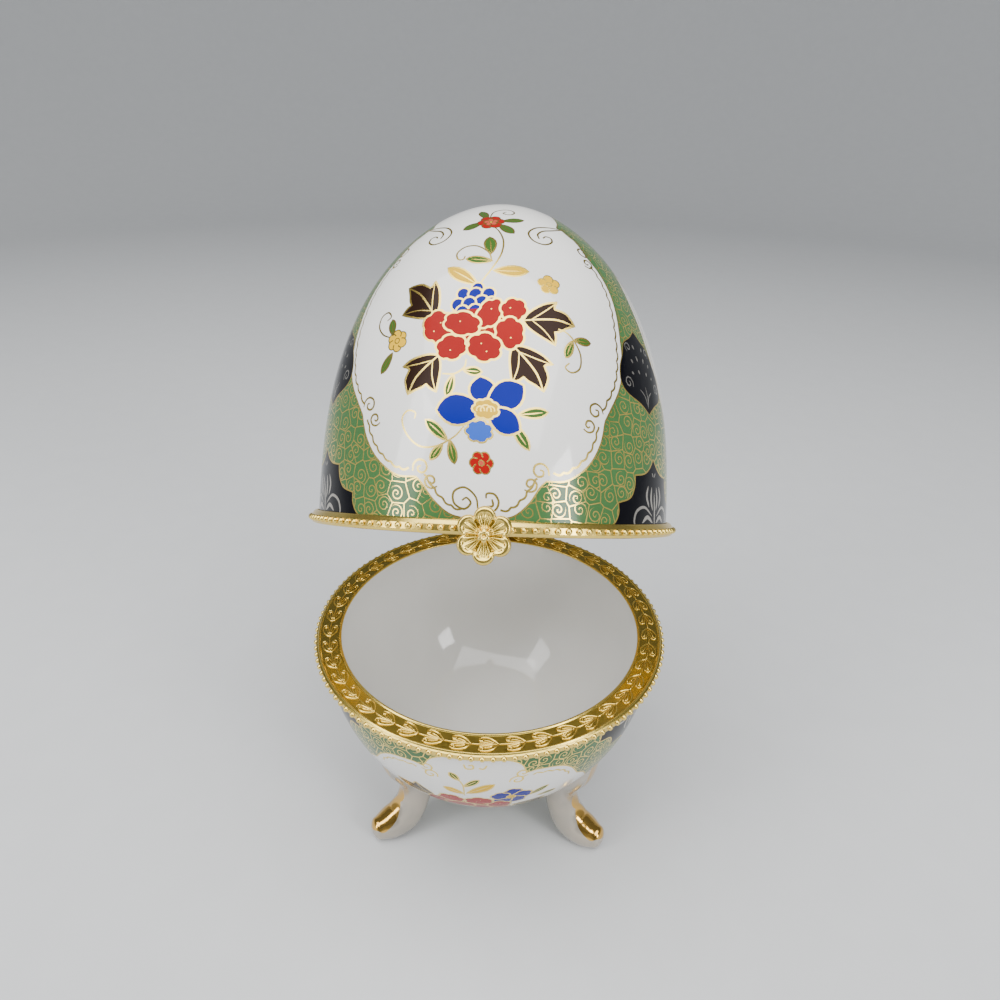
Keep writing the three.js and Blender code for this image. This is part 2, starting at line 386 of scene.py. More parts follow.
def footMesh(turn, outward):
    path = smoothPath(foot["stations"], foot["steps"])
    last = path[-1]
    rings = [tuple(ring) for ring in path]
    for k in range(1, foot["capRings"]):
        swing = math.pi / 2 * k / foot["capRings"]
        shrink = math.cos(swing)
        out = last[0] + (foot["tip"] - last[0]) * math.sin(swing)
        rings.append((out, last[1], last[2] * shrink, last[3] * shrink))
    rings = np.array(rings)
    ahead = np.gradient(rings[:, :2], axis=0)
    ahead[-foot["capRings"]:] = (1, 0)
    ahead /= np.linalg.norm(ahead, axis=1)[:, None]
    # the rings turn gradually where the toe's cap begins
    easing = foot["easing"]
    window = np.ones(2 * easing + 1) / (2 * easing + 1)
    eased = np.pad(ahead, ((easing, easing), (0, 0)), "edge")
    ahead = np.stack([np.convolve(eased[:, k], window, "valid") for k in (0, 1)], 1)
    ahead /= np.linalg.norm(ahead, axis=1)[:, None]
    sides = foot["sides"]
    points, places, faces = [], [], []
    floor = -pin.z / mm
    for (out, up, wide, thick), (tx, tz) in zip(rings, ahead):
        for k in range(sides):
            angle = 2 * math.pi * k / sides
            x = out + outward - tz * thick * math.cos(angle)
            z = max(up + tx * thick * math.cos(angle), 0)
            points.append((x, wide * math.sin(angle), z + floor))
            places.append((x - outward, wide * math.sin(angle), z))
    for ring in range(len(rings) - 1):
        for k in range(sides):
            n = (k + 1) % sides
            a, b = ring * sides, (ring + 1) * sides
            faces.append((a + k, b + k, b + n, a + n))
    tail, nose = len(points), len(points) + 1
    points += [(rings[0][0] + outward, 0, rings[0][1] + floor), (foot["tip"] + outward, 0, last[1] + floor)]
    places += [(rings[0][0], 0, rings[0][1]), (foot["tip"], 0, last[1])]
    for k in range(sides):
        n = (k + 1) % sides
        faces.append((tail, k, n))
        faces.append((nose, len(rings) * sides - sides + n, len(rings) * sides - sides + k))
    mesh = newMesh("foot", points, faces)
    mesh.attributes.new("footPlace", "FLOAT_VECTOR", "POINT").data.foreach_set(
        "vector", np.array(places, float).ravel())
    mesh.attributes.new("skin", "INT", "FACE").data.foreach_set("value", [3] * len(faces))
    mesh.transform(Matrix.Rotation(math.radians(turn), 4, "Z"))
    mesh.transform(asBowl)
    return mesh


# Geometry Nodes: one piece repeated round the upright axis.
def ringTree(name, bead):
    # bead makes its own small ball; otherwise the tree repeats the mesh it is given
    tree = bpy.data.node_groups.new(name, "GeometryNodeTree")
    sockets = tree.interface
    sockets.new_socket("Geometry", in_out="INPUT", socket_type="NodeSocketGeometry")
    sockets.new_socket("Count", in_out="INPUT", socket_type="NodeSocketInt")
    sockets.new_socket("First Turn", in_out="INPUT", socket_type="NodeSocketFloat")
    sockets.new_socket("Metal", in_out="INPUT", socket_type="NodeSocketMaterial")
    if bead:
        sockets.new_socket("Bead Radius", in_out="INPUT", socket_type="NodeSocketFloat")
        sockets.new_socket("Bead Place", in_out="INPUT", socket_type="NodeSocketVector")
    sockets.new_socket("Geometry", in_out="OUTPUT", socket_type="NodeSocketGeometry")
    node, link = tree.nodes.new, tree.links.new
    given, result = node("NodeGroupInput"), node("NodeGroupOutput")
    unit = given.outputs["Geometry"]
    if bead:
        ball = node("GeometryNodeMeshUVSphere")
        ball.inputs["Segments"].default_value = 10
        ball.inputs["Rings"].default_value = 7
        link(given.outputs["Bead Radius"], ball.inputs["Radius"])
        moved = node("GeometryNodeTransform")
        link(ball.outputs["Mesh"], moved.inputs["Geometry"])
        link(given.outputs["Bead Place"], moved.inputs["Translation"])
        unit = moved.outputs["Geometry"]
    centres = node("GeometryNodePoints")
    link(given.outputs["Count"], centres.inputs["Count"])
    step = node("ShaderNodeMath")
    step.operation = "DIVIDE"
    step.inputs[0].default_value = 2 * math.pi
    link(given.outputs["Count"], step.inputs[1])
    turn = node("ShaderNodeMath")
    turn.operation = "MULTIPLY_ADD"
    link(node("GeometryNodeInputIndex").outputs[0], turn.inputs[0])
    link(step.outputs[0], turn.inputs[1])
    link(given.outputs["First Turn"], turn.inputs[2])
    spin = node("ShaderNodeCombineXYZ")
    link(turn.outputs[0], spin.inputs["Z"])
    copies = node("GeometryNodeInstanceOnPoints")
    link(centres.outputs[0], copies.inputs["Points"])
    link(unit, copies.inputs["Instance"])
    link(spin.outputs[0], copies.inputs["Rotation"])
    real = node("GeometryNodeRealizeInstances")
    link(copies.outputs[0], real.inputs[0])
    smooth = node("GeometryNodeSetShadeSmooth")
    link(real.outputs[0], smooth.inputs["Geometry"])
    finished = node("GeometryNodeSetMaterial")
    link(smooth.outputs[0], finished.inputs["Geometry"])
    link(given.outputs["Metal"], finished.inputs["Material"])
    link(finished.outputs[0], result.inputs[0])
    return tree


def grown(tree, mesh, values):
    # runs a tree on a mesh and returns the plain mesh that it makes
    carrier = bpy.data.objects.new("carrier", mesh)
    bpy.context.scene.collection.objects.link(carrier)
    modifier = carrier.modifiers.new("grow", "NODES")
    modifier.node_group = tree
    for item in tree.interface.items_tree:
        if item.in_out == "INPUT" and item.name in values:
            modifier[item.identifier] = values[item.name]
    ready = carrier.evaluated_get(bpy.context.evaluated_depsgraph_get())
    result = bpy.data.meshes.new_from_object(ready)
    carrier.modifiers.remove(modifier)
    bpy.data.objects.remove(carrier)
    return result


# The two gilt collars
collar = {
    "bore": 35.9,
    "beads": 120,
    "beadRadius": 0.66,
    "beadReach": 42.46,
    "steps": 240,
    # radius, height off the meeting plane, and how round each corner is
    "bowlProfile": [
        (35.9, -0.62, 0.1), (35.9, -0.2, 0.15), (36.35, -0.16, 0.15), (36.55, -0.42, 0.1),
        (40.75, -0.42, 0.1), (40.95, -0.2, 0.1), (41.25, -0.16, 0.12), (41.5, -0.45, 0.15),
        (41.85, -0.6, 0.1), (41.85, -1.7, 0.15), (40.95, -2.45, 0.1), (40.52, -2.48, 0.05),
        (40.52, -0.62, 0.05),
    ],
    "lidProfile": [
        (35.9, 0.16, 0.1), (41.15, 0.16, 0.15), (41.5, 0.3, 0.15), (41.62, 0.62, 0.1), (41.72, 0.78, 0.05),
        (41.72, 2.02, 0.05), (41.62, 2.15, 0.1), (41.2, 2.75, 0.3), (40.95, 2.95, 0.1), (40.55, 2.97, 0.05),
        (40.52, 0.64, 0.05), (35.9, 0.64, 0.1),
    ],
    "beadHeights": (-1.15, 1.4),
}

laurel = {
    "count": 43,
    "radius": 38.65,  # of the stem
    "ground": -0.42,
    "ridge": 0.17,
}


def laurelUnit():
    # two leaves from a pointed end, each curling to a berry, on a stem that runs on
    step = 2 * math.pi * laurel["radius"] / laurel["count"]
    outer = smoothPath([(0, 0), (0.75, 0.85), (1.75, 1.5), (2.9, 1.72), (3.75, 1.55)], 4)
    curl = [(3.62 + 0.42 * math.cos(a), 1.2 + 0.4 * math.sin(a))
            for a in np.linspace(math.radians(70), math.radians(-200), 9)]
    vein = smoothPath([(0.95, 0.22), (1.9, 0.75), (3.0, 1.0)], 3)
    under = smoothPath([(1.1, 0.1), (2.2, 0.28), (3.2, 0.5), (3.95, 0.62)], 3)
    stem = smoothPath([(0.1, 0.0), (step / 2, 0.05), (step + 0.1, 0.0)], 4)
    strokes = [(stem, 0.15)]
    for sign in (1, -1):
        for path, radius in ((outer, 0.2), (curl, 0.17), (vein, 0.13), (under, 0.16)):
            strokes.append(([(x, sign * y) for x, y in path], radius))
    whole, faces = [], []
    for path, radius in strokes:
        ease = np.sin(np.linspace(0.25, math.pi - 0.25, len(path))) ** 0.35
        lifted = []
        for x, y in path:
            turn = -x / laurel["radius"]
            r = laurel["radius"] + y
            lifted.append((r * math.cos(turn), r * math.sin(turn), laurel["ground"] + 0.04))
        points, made = tube(lifted, radius * ease, 6, laurel["ridge"] / radius)
        faces += [tuple(v + len(whole) for v in face) for face in made]
        whole += [tuple(point) for point in points]
    return newMesh("laurelUnit", whole, faces, reliefShade=[1.0] * len(whole))


def ribbon(name, profile, steps):
    loop = roundedLoop(profile, 0.1)
    area = sum(a[0] * b[1] - a[1] * b[0] for a, b in zip(loop, loop[1:] + loop[:1]))
    if area < 0:
        loop.reverse()
    points, faces = lathe(loop, steps)
    # painted shade: the flange's flat ground gets a low share and is darkened, the rest stays bright
    reliefShade = [0.35 if abs(z - laurel["ground"]) < 0.05 else 0.9 for _, _, z in points]
    return newMesh(name, points, faces, reliefShade=reliefShade)


def metalCollar(profile, beadHeight, metal):
    body = ribbon("collar", profile, collar["steps"])
    body.materials.append(metal)
    beads = grown(beadTree, bpy.data.meshes.new("none"), {
        "Count": collar["beads"], "First Turn": math.pi / collar["beads"], "Metal": metal,
        "Bead Radius": collar["beadRadius"],
        "Bead Place": (collar["beadReach"] - collar["beadRadius"], 0.0, beadHeight),
    })
    beads.attributes.new("reliefShade", "FLOAT", "POINT").data.foreach_set("value", [1.0] * len(beads.vertices))
    return [body, beads]


# The six-petalled rosette at the front of the lid
rosette = {
    "back": 42.8,
    "aside": 0.5,
    "middle": 0.3,
    "petals": 6,
    "ribs": 3,
    "petalCentre": 3.35,
    "petalRadius": 2.05,
    "turns": 180,
    "rings": 34,
}


def rosetteReach(turn):
    span = 2 * math.pi / rosette["petals"]
    off = turn - span * round(turn / span)
    c, r = rosette["petalCentre"], rosette["petalRadius"]
    return c * math.cos(off) + math.sqrt(r * r - (c * math.sin(off)) ** 2)


def rosetteHeight(share, turn):
    span = 2 * math.pi / rosette["petals"]
    off = (turn / span + 0.5) % 1 - 0.5  # across one petal
    rib = 0.5 + 0.5 * math.cos(2 * math.pi * rosette["ribs"] * off)

    def ease(a, b, x):
        t = min(max((x - a) / (b - a), 0), 1)
        return t * t * (3 - 2 * t)
    dome = 0.75 * math.sqrt(max(0, 1 - (share / 0.27) ** 2))
    dimple = 0.75 * (1 - ease(0.02, 0.11, share))
    fluted = ease(0.27, 0.36, share) * (1 - ease(0.7, 0.82, share))
    rim = ease(0.7, 0.86, share)
    edge = math.sqrt(max(0, 1 - ((max(share, 0.88) - 0.88) / 0.12) ** 2))
    base = 1.0 + 0.18 * ease(0.3, 0.7, share) + 0.17 * rim
    flute = 0.34 * fluted * (1 - rib) ** 0.8
    crease = 0.3 * math.exp(-((abs(off) - 0.5) / 0.05) ** 2) * ease(0.3, 0.5, share)
    return 0.55 + (base + dome - dimple - flute - crease - 0.55) * edge


def rosetteMesh():
    turns, rings = rosette["turns"], rosette["rings"]
    points, faces, reliefShade = [], [], []
    points.append((0, 0, rosetteHeight(0, 0)))
    for i in range(1, rings + 1):
        share = math.sin(math.pi / 2 * i / rings) ** 0.9
        for k in range(turns):
            turn = 2 * math.pi * k / turns
            reach = share * rosetteReach(turn)
            points.append((reach * math.cos(turn), reach * math.sin(turn), rosetteHeight(share, turn)))
    for k in range(turns):
        turn = 2 * math.pi * k / turns
        reach = rosetteReach(turn)
        points.append((reach * math.cos(turn), reach * math.sin(turn), 0))
    points.append((0, 0, 0))
    back = len(points) - 1
    for k in range(turns):
        n = (k + 1) % turns
        faces.append((0, 1 + k, 1 + n))
        for i in range(rings):
            a, b = 1 + i * turns, 1 + (i + 1) * turns
            faces.append((a + k, b + k, b + n, a + n))
        edge = 1 + rings * turns
        faces.append((back, edge + n, edge + k))
    # painted shade: the rosette darkens towards its low parts and is brightest at its crests
    crest = 1.2
    reliefShade = [min(1.0, 0.35 + 0.65 * (z / crest) ** 3) if z > 0.5 else 0.8 for _, _, z in points]
    mesh = newMesh("rosette", points, faces, reliefShade=reliefShade)
    stand = Matrix.Rotation(math.pi / 2, 4, "X") @ Matrix.Rotation(math.pi / 2, 4, "Z")
    mesh.transform(Matrix.Translation((rosette["aside"], -rosette["back"], rosette["middle"])) @ stand)
    return mesh


# The hinge at the back: a leaf on each collar and a pin through their knuckles
hingeSizes = {
    "reach": 46,
    "length": 14,
    "middleKnuckle": 5.8,
    "outerKnuckle": 3.8,
    "knuckleRadius": 1.3,
    "pinRadius": 0.6,
    "bore": 0.7,
    "leafFront": 42.8,
    "leafSheet": 0.8,
    "leafDrop": 0.4,
    "leafHeight": 2.2,
}


def softBlock(low, high, bevel):
    made = bmesh.new()
    bmesh.ops.create_cube(made, size=1)
    low, high = Vector(low), Vector(high)
    for vertex in made.verts:
        vertex.co = (low + high) / 2 + Vector(a * b for a, b in zip(vertex.co, high - low))
    bmesh.ops.bevel(made, geom=made.edges[:], offset=bevel, segments=3, profile=0.5, affect="EDGES")
    mesh = bpy.data.meshes.new("block")
    made.to_mesh(mesh)
    made.free()
    mesh.polygons.foreach_set("use_smooth", [True] * len(mesh.polygons))
    # a fixed share of painted shade, a little darker than the beads
    mesh.attributes.new("reliefShade", "FLOAT", "POINT").data.foreach_set("value", [0.8] * len(mesh.vertices))
    return mesh


def turnedAlongX(loop, x, y):
    # a lathe loop of (radius, place along the pin), laid along X
    points, faces = lathe(loop, 40)
    # a fixed share of painted shade
    mesh = newMesh("turned", points, faces, reliefShade=[0.9] * len(points))
    mesh.transform(Matrix.Translation((x, y, 0)) @ Matrix.Rotation(math.pi / 2, 4, "Y"))
    return mesh


def hingeLeaf(side, knuckles, length):
    h = hingeSizes
    low, high = sorted((side * h["leafDrop"], side * (h["leafDrop"] + h["leafHeight"])))
    parts = [softBlock((-h["length"] / 2, h["leafFront"], low),
                       (h["length"] / 2, h["leafFront"] + h["leafSheet"], high), 0.22)]
    armLow, armHigh = sorted((side * h["leafDrop"], side * (h["knuckleRadius"] - 0.05)))
    for x in knuckles:
        parts.append(softBlock((x - length / 2 + 0.05, h["leafFront"] + 0.2, armLow),
                               (x + length / 2 - 0.05, h["reach"] - 0.6, armHigh), 0.12))
        r, bore, reach = h["knuckleRadius"], h["bore"], length / 2
        loop = roundedLoop([(bore, -reach), (r, -reach, 0.15), (r, reach, 0.15), (bore, reach)], 0.05)
        parts.append(turnedAlongX(loop, x, h["reach"]))
    return parts


def hingePin():
    h = hingeSizes
    r, reach = h["pinRadius"], h["length"] / 2 + 0.3
    loop = [(0.0, -reach)]
    for a in np.linspace(0, math.pi / 2, 5)[1:]:
        loop.append((r * math.sin(a), -reach + 0.25 * (1 - math.cos(a))))
    for a in np.linspace(math.pi / 2, 0, 5)[:-1]:
        loop.append((r * math.sin(a), reach - 0.25 * (1 - math.cos(a))))
    loop.append((0.0, reach))
    points, faces = lathe(loop, 32, closed=False)
    mesh = newMesh("pin", points, faces, reliefShade=[1.0] * len(points))
    mesh.transform(Matrix.Translation((0, h["reach"], 0)) @ Matrix.Rotation(math.pi / 2, 4, "Y"))
    made = bmesh.new()
    made.from_mesh(mesh)
    bmesh.ops.remove_doubles(made, verts=made.verts, dist=1e-5)
    made.to_mesh(mesh)
    made.free()
    return mesh


# Paints, in the order of the porcelain's material slots
paintNames = ["white", "green", "black", "gilding", "red", "blue", "yellow", "leaf", "bronze", "rose",
              "sky", "silver", "lustre"]
line = {"petal": 0.44, "leaf": 0.38, "curl": 0.44, "border": 0.32, "vein": 0.26}  # widths of gilt lines


def radiusAt(chart, s):
    return np.interp(s, chart["outline"]["s"], chart["outline"]["r"])


def stamp(chart, points, at, size=1.0, turn=0.0, flip=1):
    # takes a motif drawn in millimetres to a place (arc across, arc up) on the egg
    p = np.array(points, float) * (flip * size, size)
    c, n = math.cos(math.radians(turn)), math.sin(math.radians(turn))
    x, y = p[:, 0] * c - p[:, 1] * n, p[:, 0] * n + p[:, 1] * c
    s = at[1] + y
    centre = at[0] / radiusAt(chart, at[1])
    return np.stack([np.degrees(centre + x / radiusAt(chart, s)), s], 1)


def fill(chart, paint, polygon):
    chart["shapes"].append((paintNames.index(paint), [tuple(p) for p in polygon]))


def shifted(chart, path, distance, closed=False):
    # a path moved sideways by a distance in millimetres, to its right
    p = np.array(path, float)
    scale = np.stack([np.radians(radiusAt(chart, p[:, 1])), np.ones(len(p))], 1)
    if closed:
        step = np.roll(p, -1, 0) - np.roll(p, 1, 0)
    else:
        step = np.gradient(p, axis=0)
    step = step * scale
    step /= np.maximum(np.linalg.norm(step, axis=1), 1e-9)[:, None]
    sideways = np.stack([step[:, 1], -step[:, 0]], 1) * np.reshape(distance, (-1, 1))
    return p + sideways / scale


def stroke(chart, path, width, paint="gilding", closed=False, taper=0.0):
    # a line of two triangles to each step; taper thins its ends
    count = len(path)
    widths = np.full(count, width / 2)
    if taper:
        widths *= 1 - taper * np.abs(np.linspace(-1, 1, count)) ** 3
    left, right = shifted(chart, path, -widths, closed), shifted(chart, path, widths, closed)
    for i in range(count if closed else count - 1):
        n = (i + 1) % count
        fill(chart, paint, (left[i], right[i], right[n]))
        fill(chart, paint, (left[i], right[n], left[n]))


def outlined(chart, paint, polygon, width=None, edge="gilding"):
    fill(chart, paint, polygon)
    stroke(chart, polygon, width or line["petal"], edge, closed=True)


# Motifs, drawn in millimetres about their own middle or foot
def spiral(radius, turns, start=0.0, steps=9, hand=1, inner=0.18):
    # winds in from the radius to a small hook
    count = max(int(steps * turns), 4)
    t = np.linspace(0, 1, count + 1)
    r = radius * (1 - (1 - inner) * t)
    a = math.radians(start) + hand * 2 * math.pi * turns * t
    return np.stack([r * np.cos(a), r * np.sin(a)], 1)


def petal(length, width, steps=7, waist=0.0):
    # a pointed oval from its foot at the origin
    t = np.linspace(0, math.pi, steps + 1)[1:-1]
    rise = 0.2 * (1 - np.cos(t)) + 0.6 * t / math.pi
    half = width / 2 * np.sin(t) ** (1 + waist) * (0.75 + 0.5 * rise) / 1.1
    right = [(w, length * h) for w, h in zip(half, rise)]
    left = [(-w, length * h) for w, h in zip(half[::-1], rise[::-1])]
    return [(0, 0)] + right + [(0, length)] + left


def scalloped(rx, ry, lobes=6, depth=0.12, steps=5, turn=0.0):
    count = lobes * steps
    ring = []
    for k in range(count):
        a = 2 * math.pi * k / count
        r = 1 - depth * (1 - abs(math.sin(lobes * a / 2))) ** 1.5
        x, y = rx * r * math.cos(a), ry * r * math.sin(a)
        b = math.radians(turn)
        ring.append((x * math.cos(b) - y * math.sin(b), x * math.sin(b) + y * math.cos(b)))
    return ring


def roundFlower(chart, at, size, paint, heart, petals=6, turn=0.0, edge="gilding"):
    for k in range(petals):
        a = math.radians(turn + 360 * k / petals)
        centre = (1.32 * math.cos(a), 1.32 * math.sin(a))
        ring = [(centre[0] + x, centre[1] + y) for x, y in scalloped(0.98, 0.98, 1, 0, 11)]
        outlined(chart, paint, stamp(chart, ring, at, size), line["vein"], edge)
    fill(chart, paint, stamp(chart, scalloped(1.1, 1.1, 1, 0, 10), at, size))
    outlined(chart, heart, stamp(chart, scalloped(0.55, 0.55, 1, 0, 9), at, size), line["vein"] * 0.8, edge)


def greenLeaf(chart, foot, tip, width, paint="leaf", edge="gilding"):
    # a leaf with a midrib, given where it starts and ends
    length = math.hypot(tip[0] - foot[0], tip[1] - foot[1])
    turn = math.degrees(math.atan2(tip[1] - foot[1], tip[0] - foot[0])) - 90
    outlined(chart, paint, stamp(chart, petal(length, width), foot, 1, turn), line["leaf"], edge)
    rib = [(0, 0.05 * length), (0.03 * width, 0.4 * length), (0, 0.8 * length)]
    stroke(chart, stamp(chart, smoothPath(rib, 2), foot, 1, turn), line["vein"], edge, taper=0.6)


def lobedLeaf(chart, foot, length, turn, flip=1):
    # the dark three-lobed leaf, drawn pointing along X at a length of ten
    size = length / 10
    halves = [
        [(0, 0), (0.9, 1.5), (2.5, 2.9), (4.6, 4.1), (6.8, 4.6)],
        [(6.8, 4.6), (6.3, 3.8), (6.2, 3.0)],
        [(6.2, 3.0), (8.3, 2.4), (9.4, 1.2), (10.2, -0.1)],
        [(10.2, -0.1), (8.4, -0.9), (7.2, -1.6), (6.1, -1.9)],
        [(6.1, -1.9), (6.2, -3.0), (5.9, -4.5)],
        [(5.9, -4.5), (4.2, -3.6), (2.2, -2.4), (0.8, -1.2), (0, 0)],
    ]
    ring = np.vstack([smoothPath(part, 3)[:-1] for part in halves])
    outlined(chart, "bronze", stamp(chart, ring, foot, size, turn, flip))
    for vein in ([(0, 0), (4, 0.6), (7, 0.7), (10, -0.1)], [(1.6, 0.3), (4.2, 2.3), (6.5, 4.3)],
                 [(1.8, 0.1), (4.0, -1.7), (5.8, -4.2)]):
        width = line["petal"] * (0.9 if vein[0] == (0, 0) else 0.55)
        stroke(chart, stamp(chart, smoothPath(vein, 3), foot, size, turn, flip), width, taper=0.4)


def tendril(chart, points, width=None, paint="gilding", steps=5):
    path = smoothPath(points, steps)
    chartPath = np.stack([np.degrees(path[:, 0] / radiusAt(chart, path[:, 1])), path[:, 1]], 1)
    stroke(chart, chartPath, width or line["leaf"], paint, taper=0.3)


def peony(chart, at, size=1.0):
    fill(chart, "red", stamp(chart, [(0.2 + x, y) for x, y in scalloped(6.6, 4.2, 1, 0, 24)], at, size))
    for x, y, rx, ry, turn in ((3.0, 3.3, 2.5, 3.6, -25), (7.5, 4.3, 2.7, 2.7, 20), (-7.0, 0.4, 3.4, 3.7, 8),
                               (7.0, -0.8, 3.0, 3.5, 0), (-4.2, -4.0, 3.3, 2.7, 15),
                               (-2.2, 1.0, 3.9, 2.7, -12),
                               (2.2, -3.9, 3.5, 3.1, -8)):
        ring = [(x + px, y + py) for px, py in scalloped(rx, ry, 6, 0.13, 5, turn)]
        outlined(chart, "red", stamp(chart, ring, at, size))
    for x, y in ((-6.5, 1.2), (-7.8, -0.6), (6.8, 4.6), (7.2, -1.8), (2.6, -4.8), (1.6, -3.2), (-4.4, -4.6),
                 (-2.6, 1.4), (3.2, 4.2)):
        fill(chart, "gilding", stamp(chart, [(x - 0.16, y), (x, y - 0.16), (x + 0.16, y),
            (x, y + 0.16)], at, size))


def scaleCone(chart, at, size=1.0):
    # the blue cone of overlapping scales behind the peony
    for x, y, r in ((0.4, 3.6, 1.25), (-2.3, 2.2, 1.35), (0.1, 2.1, 1.45), (2.7, 2.3, 1.35), (1.5, 0.4, 1.4),
                    (-3.1, -0.3, 1.4), (-0.9, 0.0, 1.4), (3.4, 0.3, 1.2), (0.4, -1.6, 1.4), (2.6, -1.5, 1.3),
                    (-2.1, -1.8, 1.3)):
        ring = [(x + px, y + py) for px, py in scalloped(r, r * 1.08, 1, 0, 12)]
        outlined(chart, "blue", stamp(chart, ring, at, size), line["leaf"])


def blueFlower(chart, at, size=1.0):
    for length, width, turn in ((6.4, 5.6, 8), (8.8, 6.2, -56), (9.6, 6.6, 92), (7.4, 5.4, -122)):
        outlined(chart, "blue", stamp(chart, petal(length, width, 9), at, size, turn))
    ring = [(-1.4 + px, -4.2 + py) for px, py in scalloped(2.7, 2.2, 7, 0.16, 4)]
    outlined(chart, "sky", stamp(chart, ring, at, size), line["leaf"])
    outlined(chart, "yellow", stamp(chart, scalloped(2.6, 2.0, 7, 0.14, 4), at, size), line["leaf"])
    for x, r in ((-1.0, 0.75), (0.9, 0.75), (0, 1.0)):
        arc = [(x + r * math.cos(a), -0.2 + r * math.sin(a)) for a in np.linspace(-0.3, math.pi + 0.3, 8)]
        stroke(chart, stamp(chart, arc, at, size), line["vein"])


def bouquet(chart):
    tendril(chart, [(-0.5, 48.4), (0.6, 51.0), (1.9, 53.6), (3.3, 57.5), (3.4, 61.5), (2.2, 65.0),
        (0.6, 67.2)])
    tendril(chart, [(1.7, 55.5), (0.8, 58.0), (-1.7, 60.0), (-4.2, 59.8), (-5.7, 58.0),
        (-5.3, 56.2), (-4.2, 56.1),
                    (-3.9, 57.1)])
    greenLeaf(chart, (1.3, 57.6), (0.6, 63.0), 2.6)
    greenLeaf(chart, (1.8, 55.6), (-3.6, 56.2), 2.1)
    greenLeaf(chart, (-0.6, 49.4), (-7.2, 54.0), 3.1, "yellow")
    greenLeaf(chart, (2.2, 53.0), (9.2, 53.2), 3.0, "yellow")
    top = (0.0, 69.0)
    tendril(chart, [(-0.5, 71.0), (-0.1, 74.2), (1.4, 75.9), (3.2, 76.0), (4.3, 74.6), (3.9, 73.2),
        (2.7, 73.1),
                    (2.0, 73.9), (2.6, 74.7)])
    for foot, tip, width in (((-1.0, 70.6), (-3.1, 75.0), 1.9), ((-1.8, 68.8), (-5.4, 66.0), 2.2),
                             ((2.2, 69.4), (6.8, 70.6), 2.0), ((1.8, 68.0), (5.0, 64.6), 2.3)):
        greenLeaf(chart, foot, tip, width)
    roundFlower(chart, top, 1.25, "red", "rose", 6, 10)
    roundFlower(chart, top, 0.68, "rose", "yellow", 5, 30)
    scaleCone(chart, (-0.9, 45.0))
    for foot, length, turn, flip in (((-8.4, 42.2), 10.6, 44, -1), ((8.8, 41.6), 10.4, 0, 1),
                                     ((7.0, 36.2), 10.0, -58, 1), ((-7.3, 34.0), 9.8, -50, -1)):
        lobedLeaf(chart, foot, length, turn * flip, flip)
    peony(chart, (-0.6, 39.6))
    roundFlower(chart, (13.5, 50.4), 1.02, "yellow", "yellow", 5, 18)
    roundFlower(chart, (-16.8, 37.5), 1.05, "yellow", "yellow", 6, 40)
    greenLeaf(chart, (-18.0, 38.8), (-19.2, 42.4), 1.8)
    greenLeaf(chart, (-17.8, 35.0), (-20.2, 30.8), 1.8)
    tendril(chart, [(-18.9, 38.4), (-20.9, 39.3), (-22.4, 41.3), (-22.0, 43.5), (-20.3, 44.3), (-19.2, 43.2),
                    (-20.2, 42.3)])
    tendril(chart, [(16.0, 40.4), (17.6, 39.9), (19.2, 38.4), (20.6, 35.5), (20.3, 32.7),
        (18.5, 31.7), (17.2, 32.6),
                    (18.1, 33.6)])
    greenLeaf(chart, (19.0, 38.3), (16.9, 34.6), 1.7)
    greenLeaf(chart, (19.3, 38.5), (23.0, 38.3), 1.7)
    tendril(chart, [(-1.9, 33.2), (-2.3, 31.6), (-4.2, 30.3), (-6.6, 30.3)])
    greenLeaf(chart, (-2.5, 31.0), (1.1, 30.7), 1.8)
    greenLeaf(chart, (-4.4, 30.2), (-5.8, 25.8), 1.8)
    greenLeaf(chart, (7.6, 22.8), (13.4, 23.6), 2.1)
    greenLeaf(chart, (6.2, 21.4), (9.4, 16.2), 2.2)
    tendril(chart, [(-2.6, 20.3), (-4.6, 18.2), (-8.2, 16.4), (-11.6, 16.4), (-14.2, 18.6), (-15.2, 21.4),
                    (-14.0, 23.1), (-12.3, 22.8), (-12.4, 21.6)])
    greenLeaf(chart, (-5.8, 17.5), (-10.2, 21.4), 2.2)
    greenLeaf(chart, (-5.4, 17.6), (-4.6, 13.2), 1.8)
    greenLeaf(chart, (-6.8, 16.9), (-9.4, 13.8), 1.6)
    blueFlower(chart, (1.6, 23.6))
    roundFlower(chart, (0.4, 13.5), 0.98, "red", "rose", 6, 0)


# The white panel: its right edge as one run of points for each lobe, (azimuth, arc up)
panelLobes = [
    [(0, 3.0), (7.8, 3.7), (12.6, 6.2), (15.8, 9.2), (17.8, 10.6)],
    [(17.8, 10.6), (24, 10.9), (30.8, 14.0), (35.2, 18.2), (37.6, 22.8)],
    [(37.6, 22.8), (40.2, 25.2), (45.3, 30), (48.5, 35.5), (50.6, 42), (52.3, 50), (51.2, 56), (47.5, 61)],
    [(47.5, 61), (46.9, 64.5), (44, 68), (39, 69.8)],
    [(39, 69.8), (44, 72.6), (51, 77.6), (60, 81.5)],
]
panel = {"margin": 1.45, "wave": 0.2, "waveLength": 2.6}


def waved(chart, path):
    # the thin line inside the panel's margin, in small shallow waves
    p = np.array(path, float)
    scale = np.stack([np.radians(radiusAt(chart, p[:, 1])), np.ones(len(p))], 1)
    run = np.concatenate([[0], np.cumsum(np.linalg.norm(np.diff(p, axis=0) * scale[1:], axis=1))])
    count = int(run[-1] / panel["waveLength"] * 6)
    even = np.linspace(0, run[-1], count + 1)
    q = np.stack([np.interp(even, run, p[:, 0]), np.interp(even, run, p[:, 1])], 1)
    swing = panel["wave"] * (np.abs(np.sin(math.pi * even / panel["waveLength"])) - 0.5) * 2
    return shifted(chart, q, -panel["margin"] + swing)


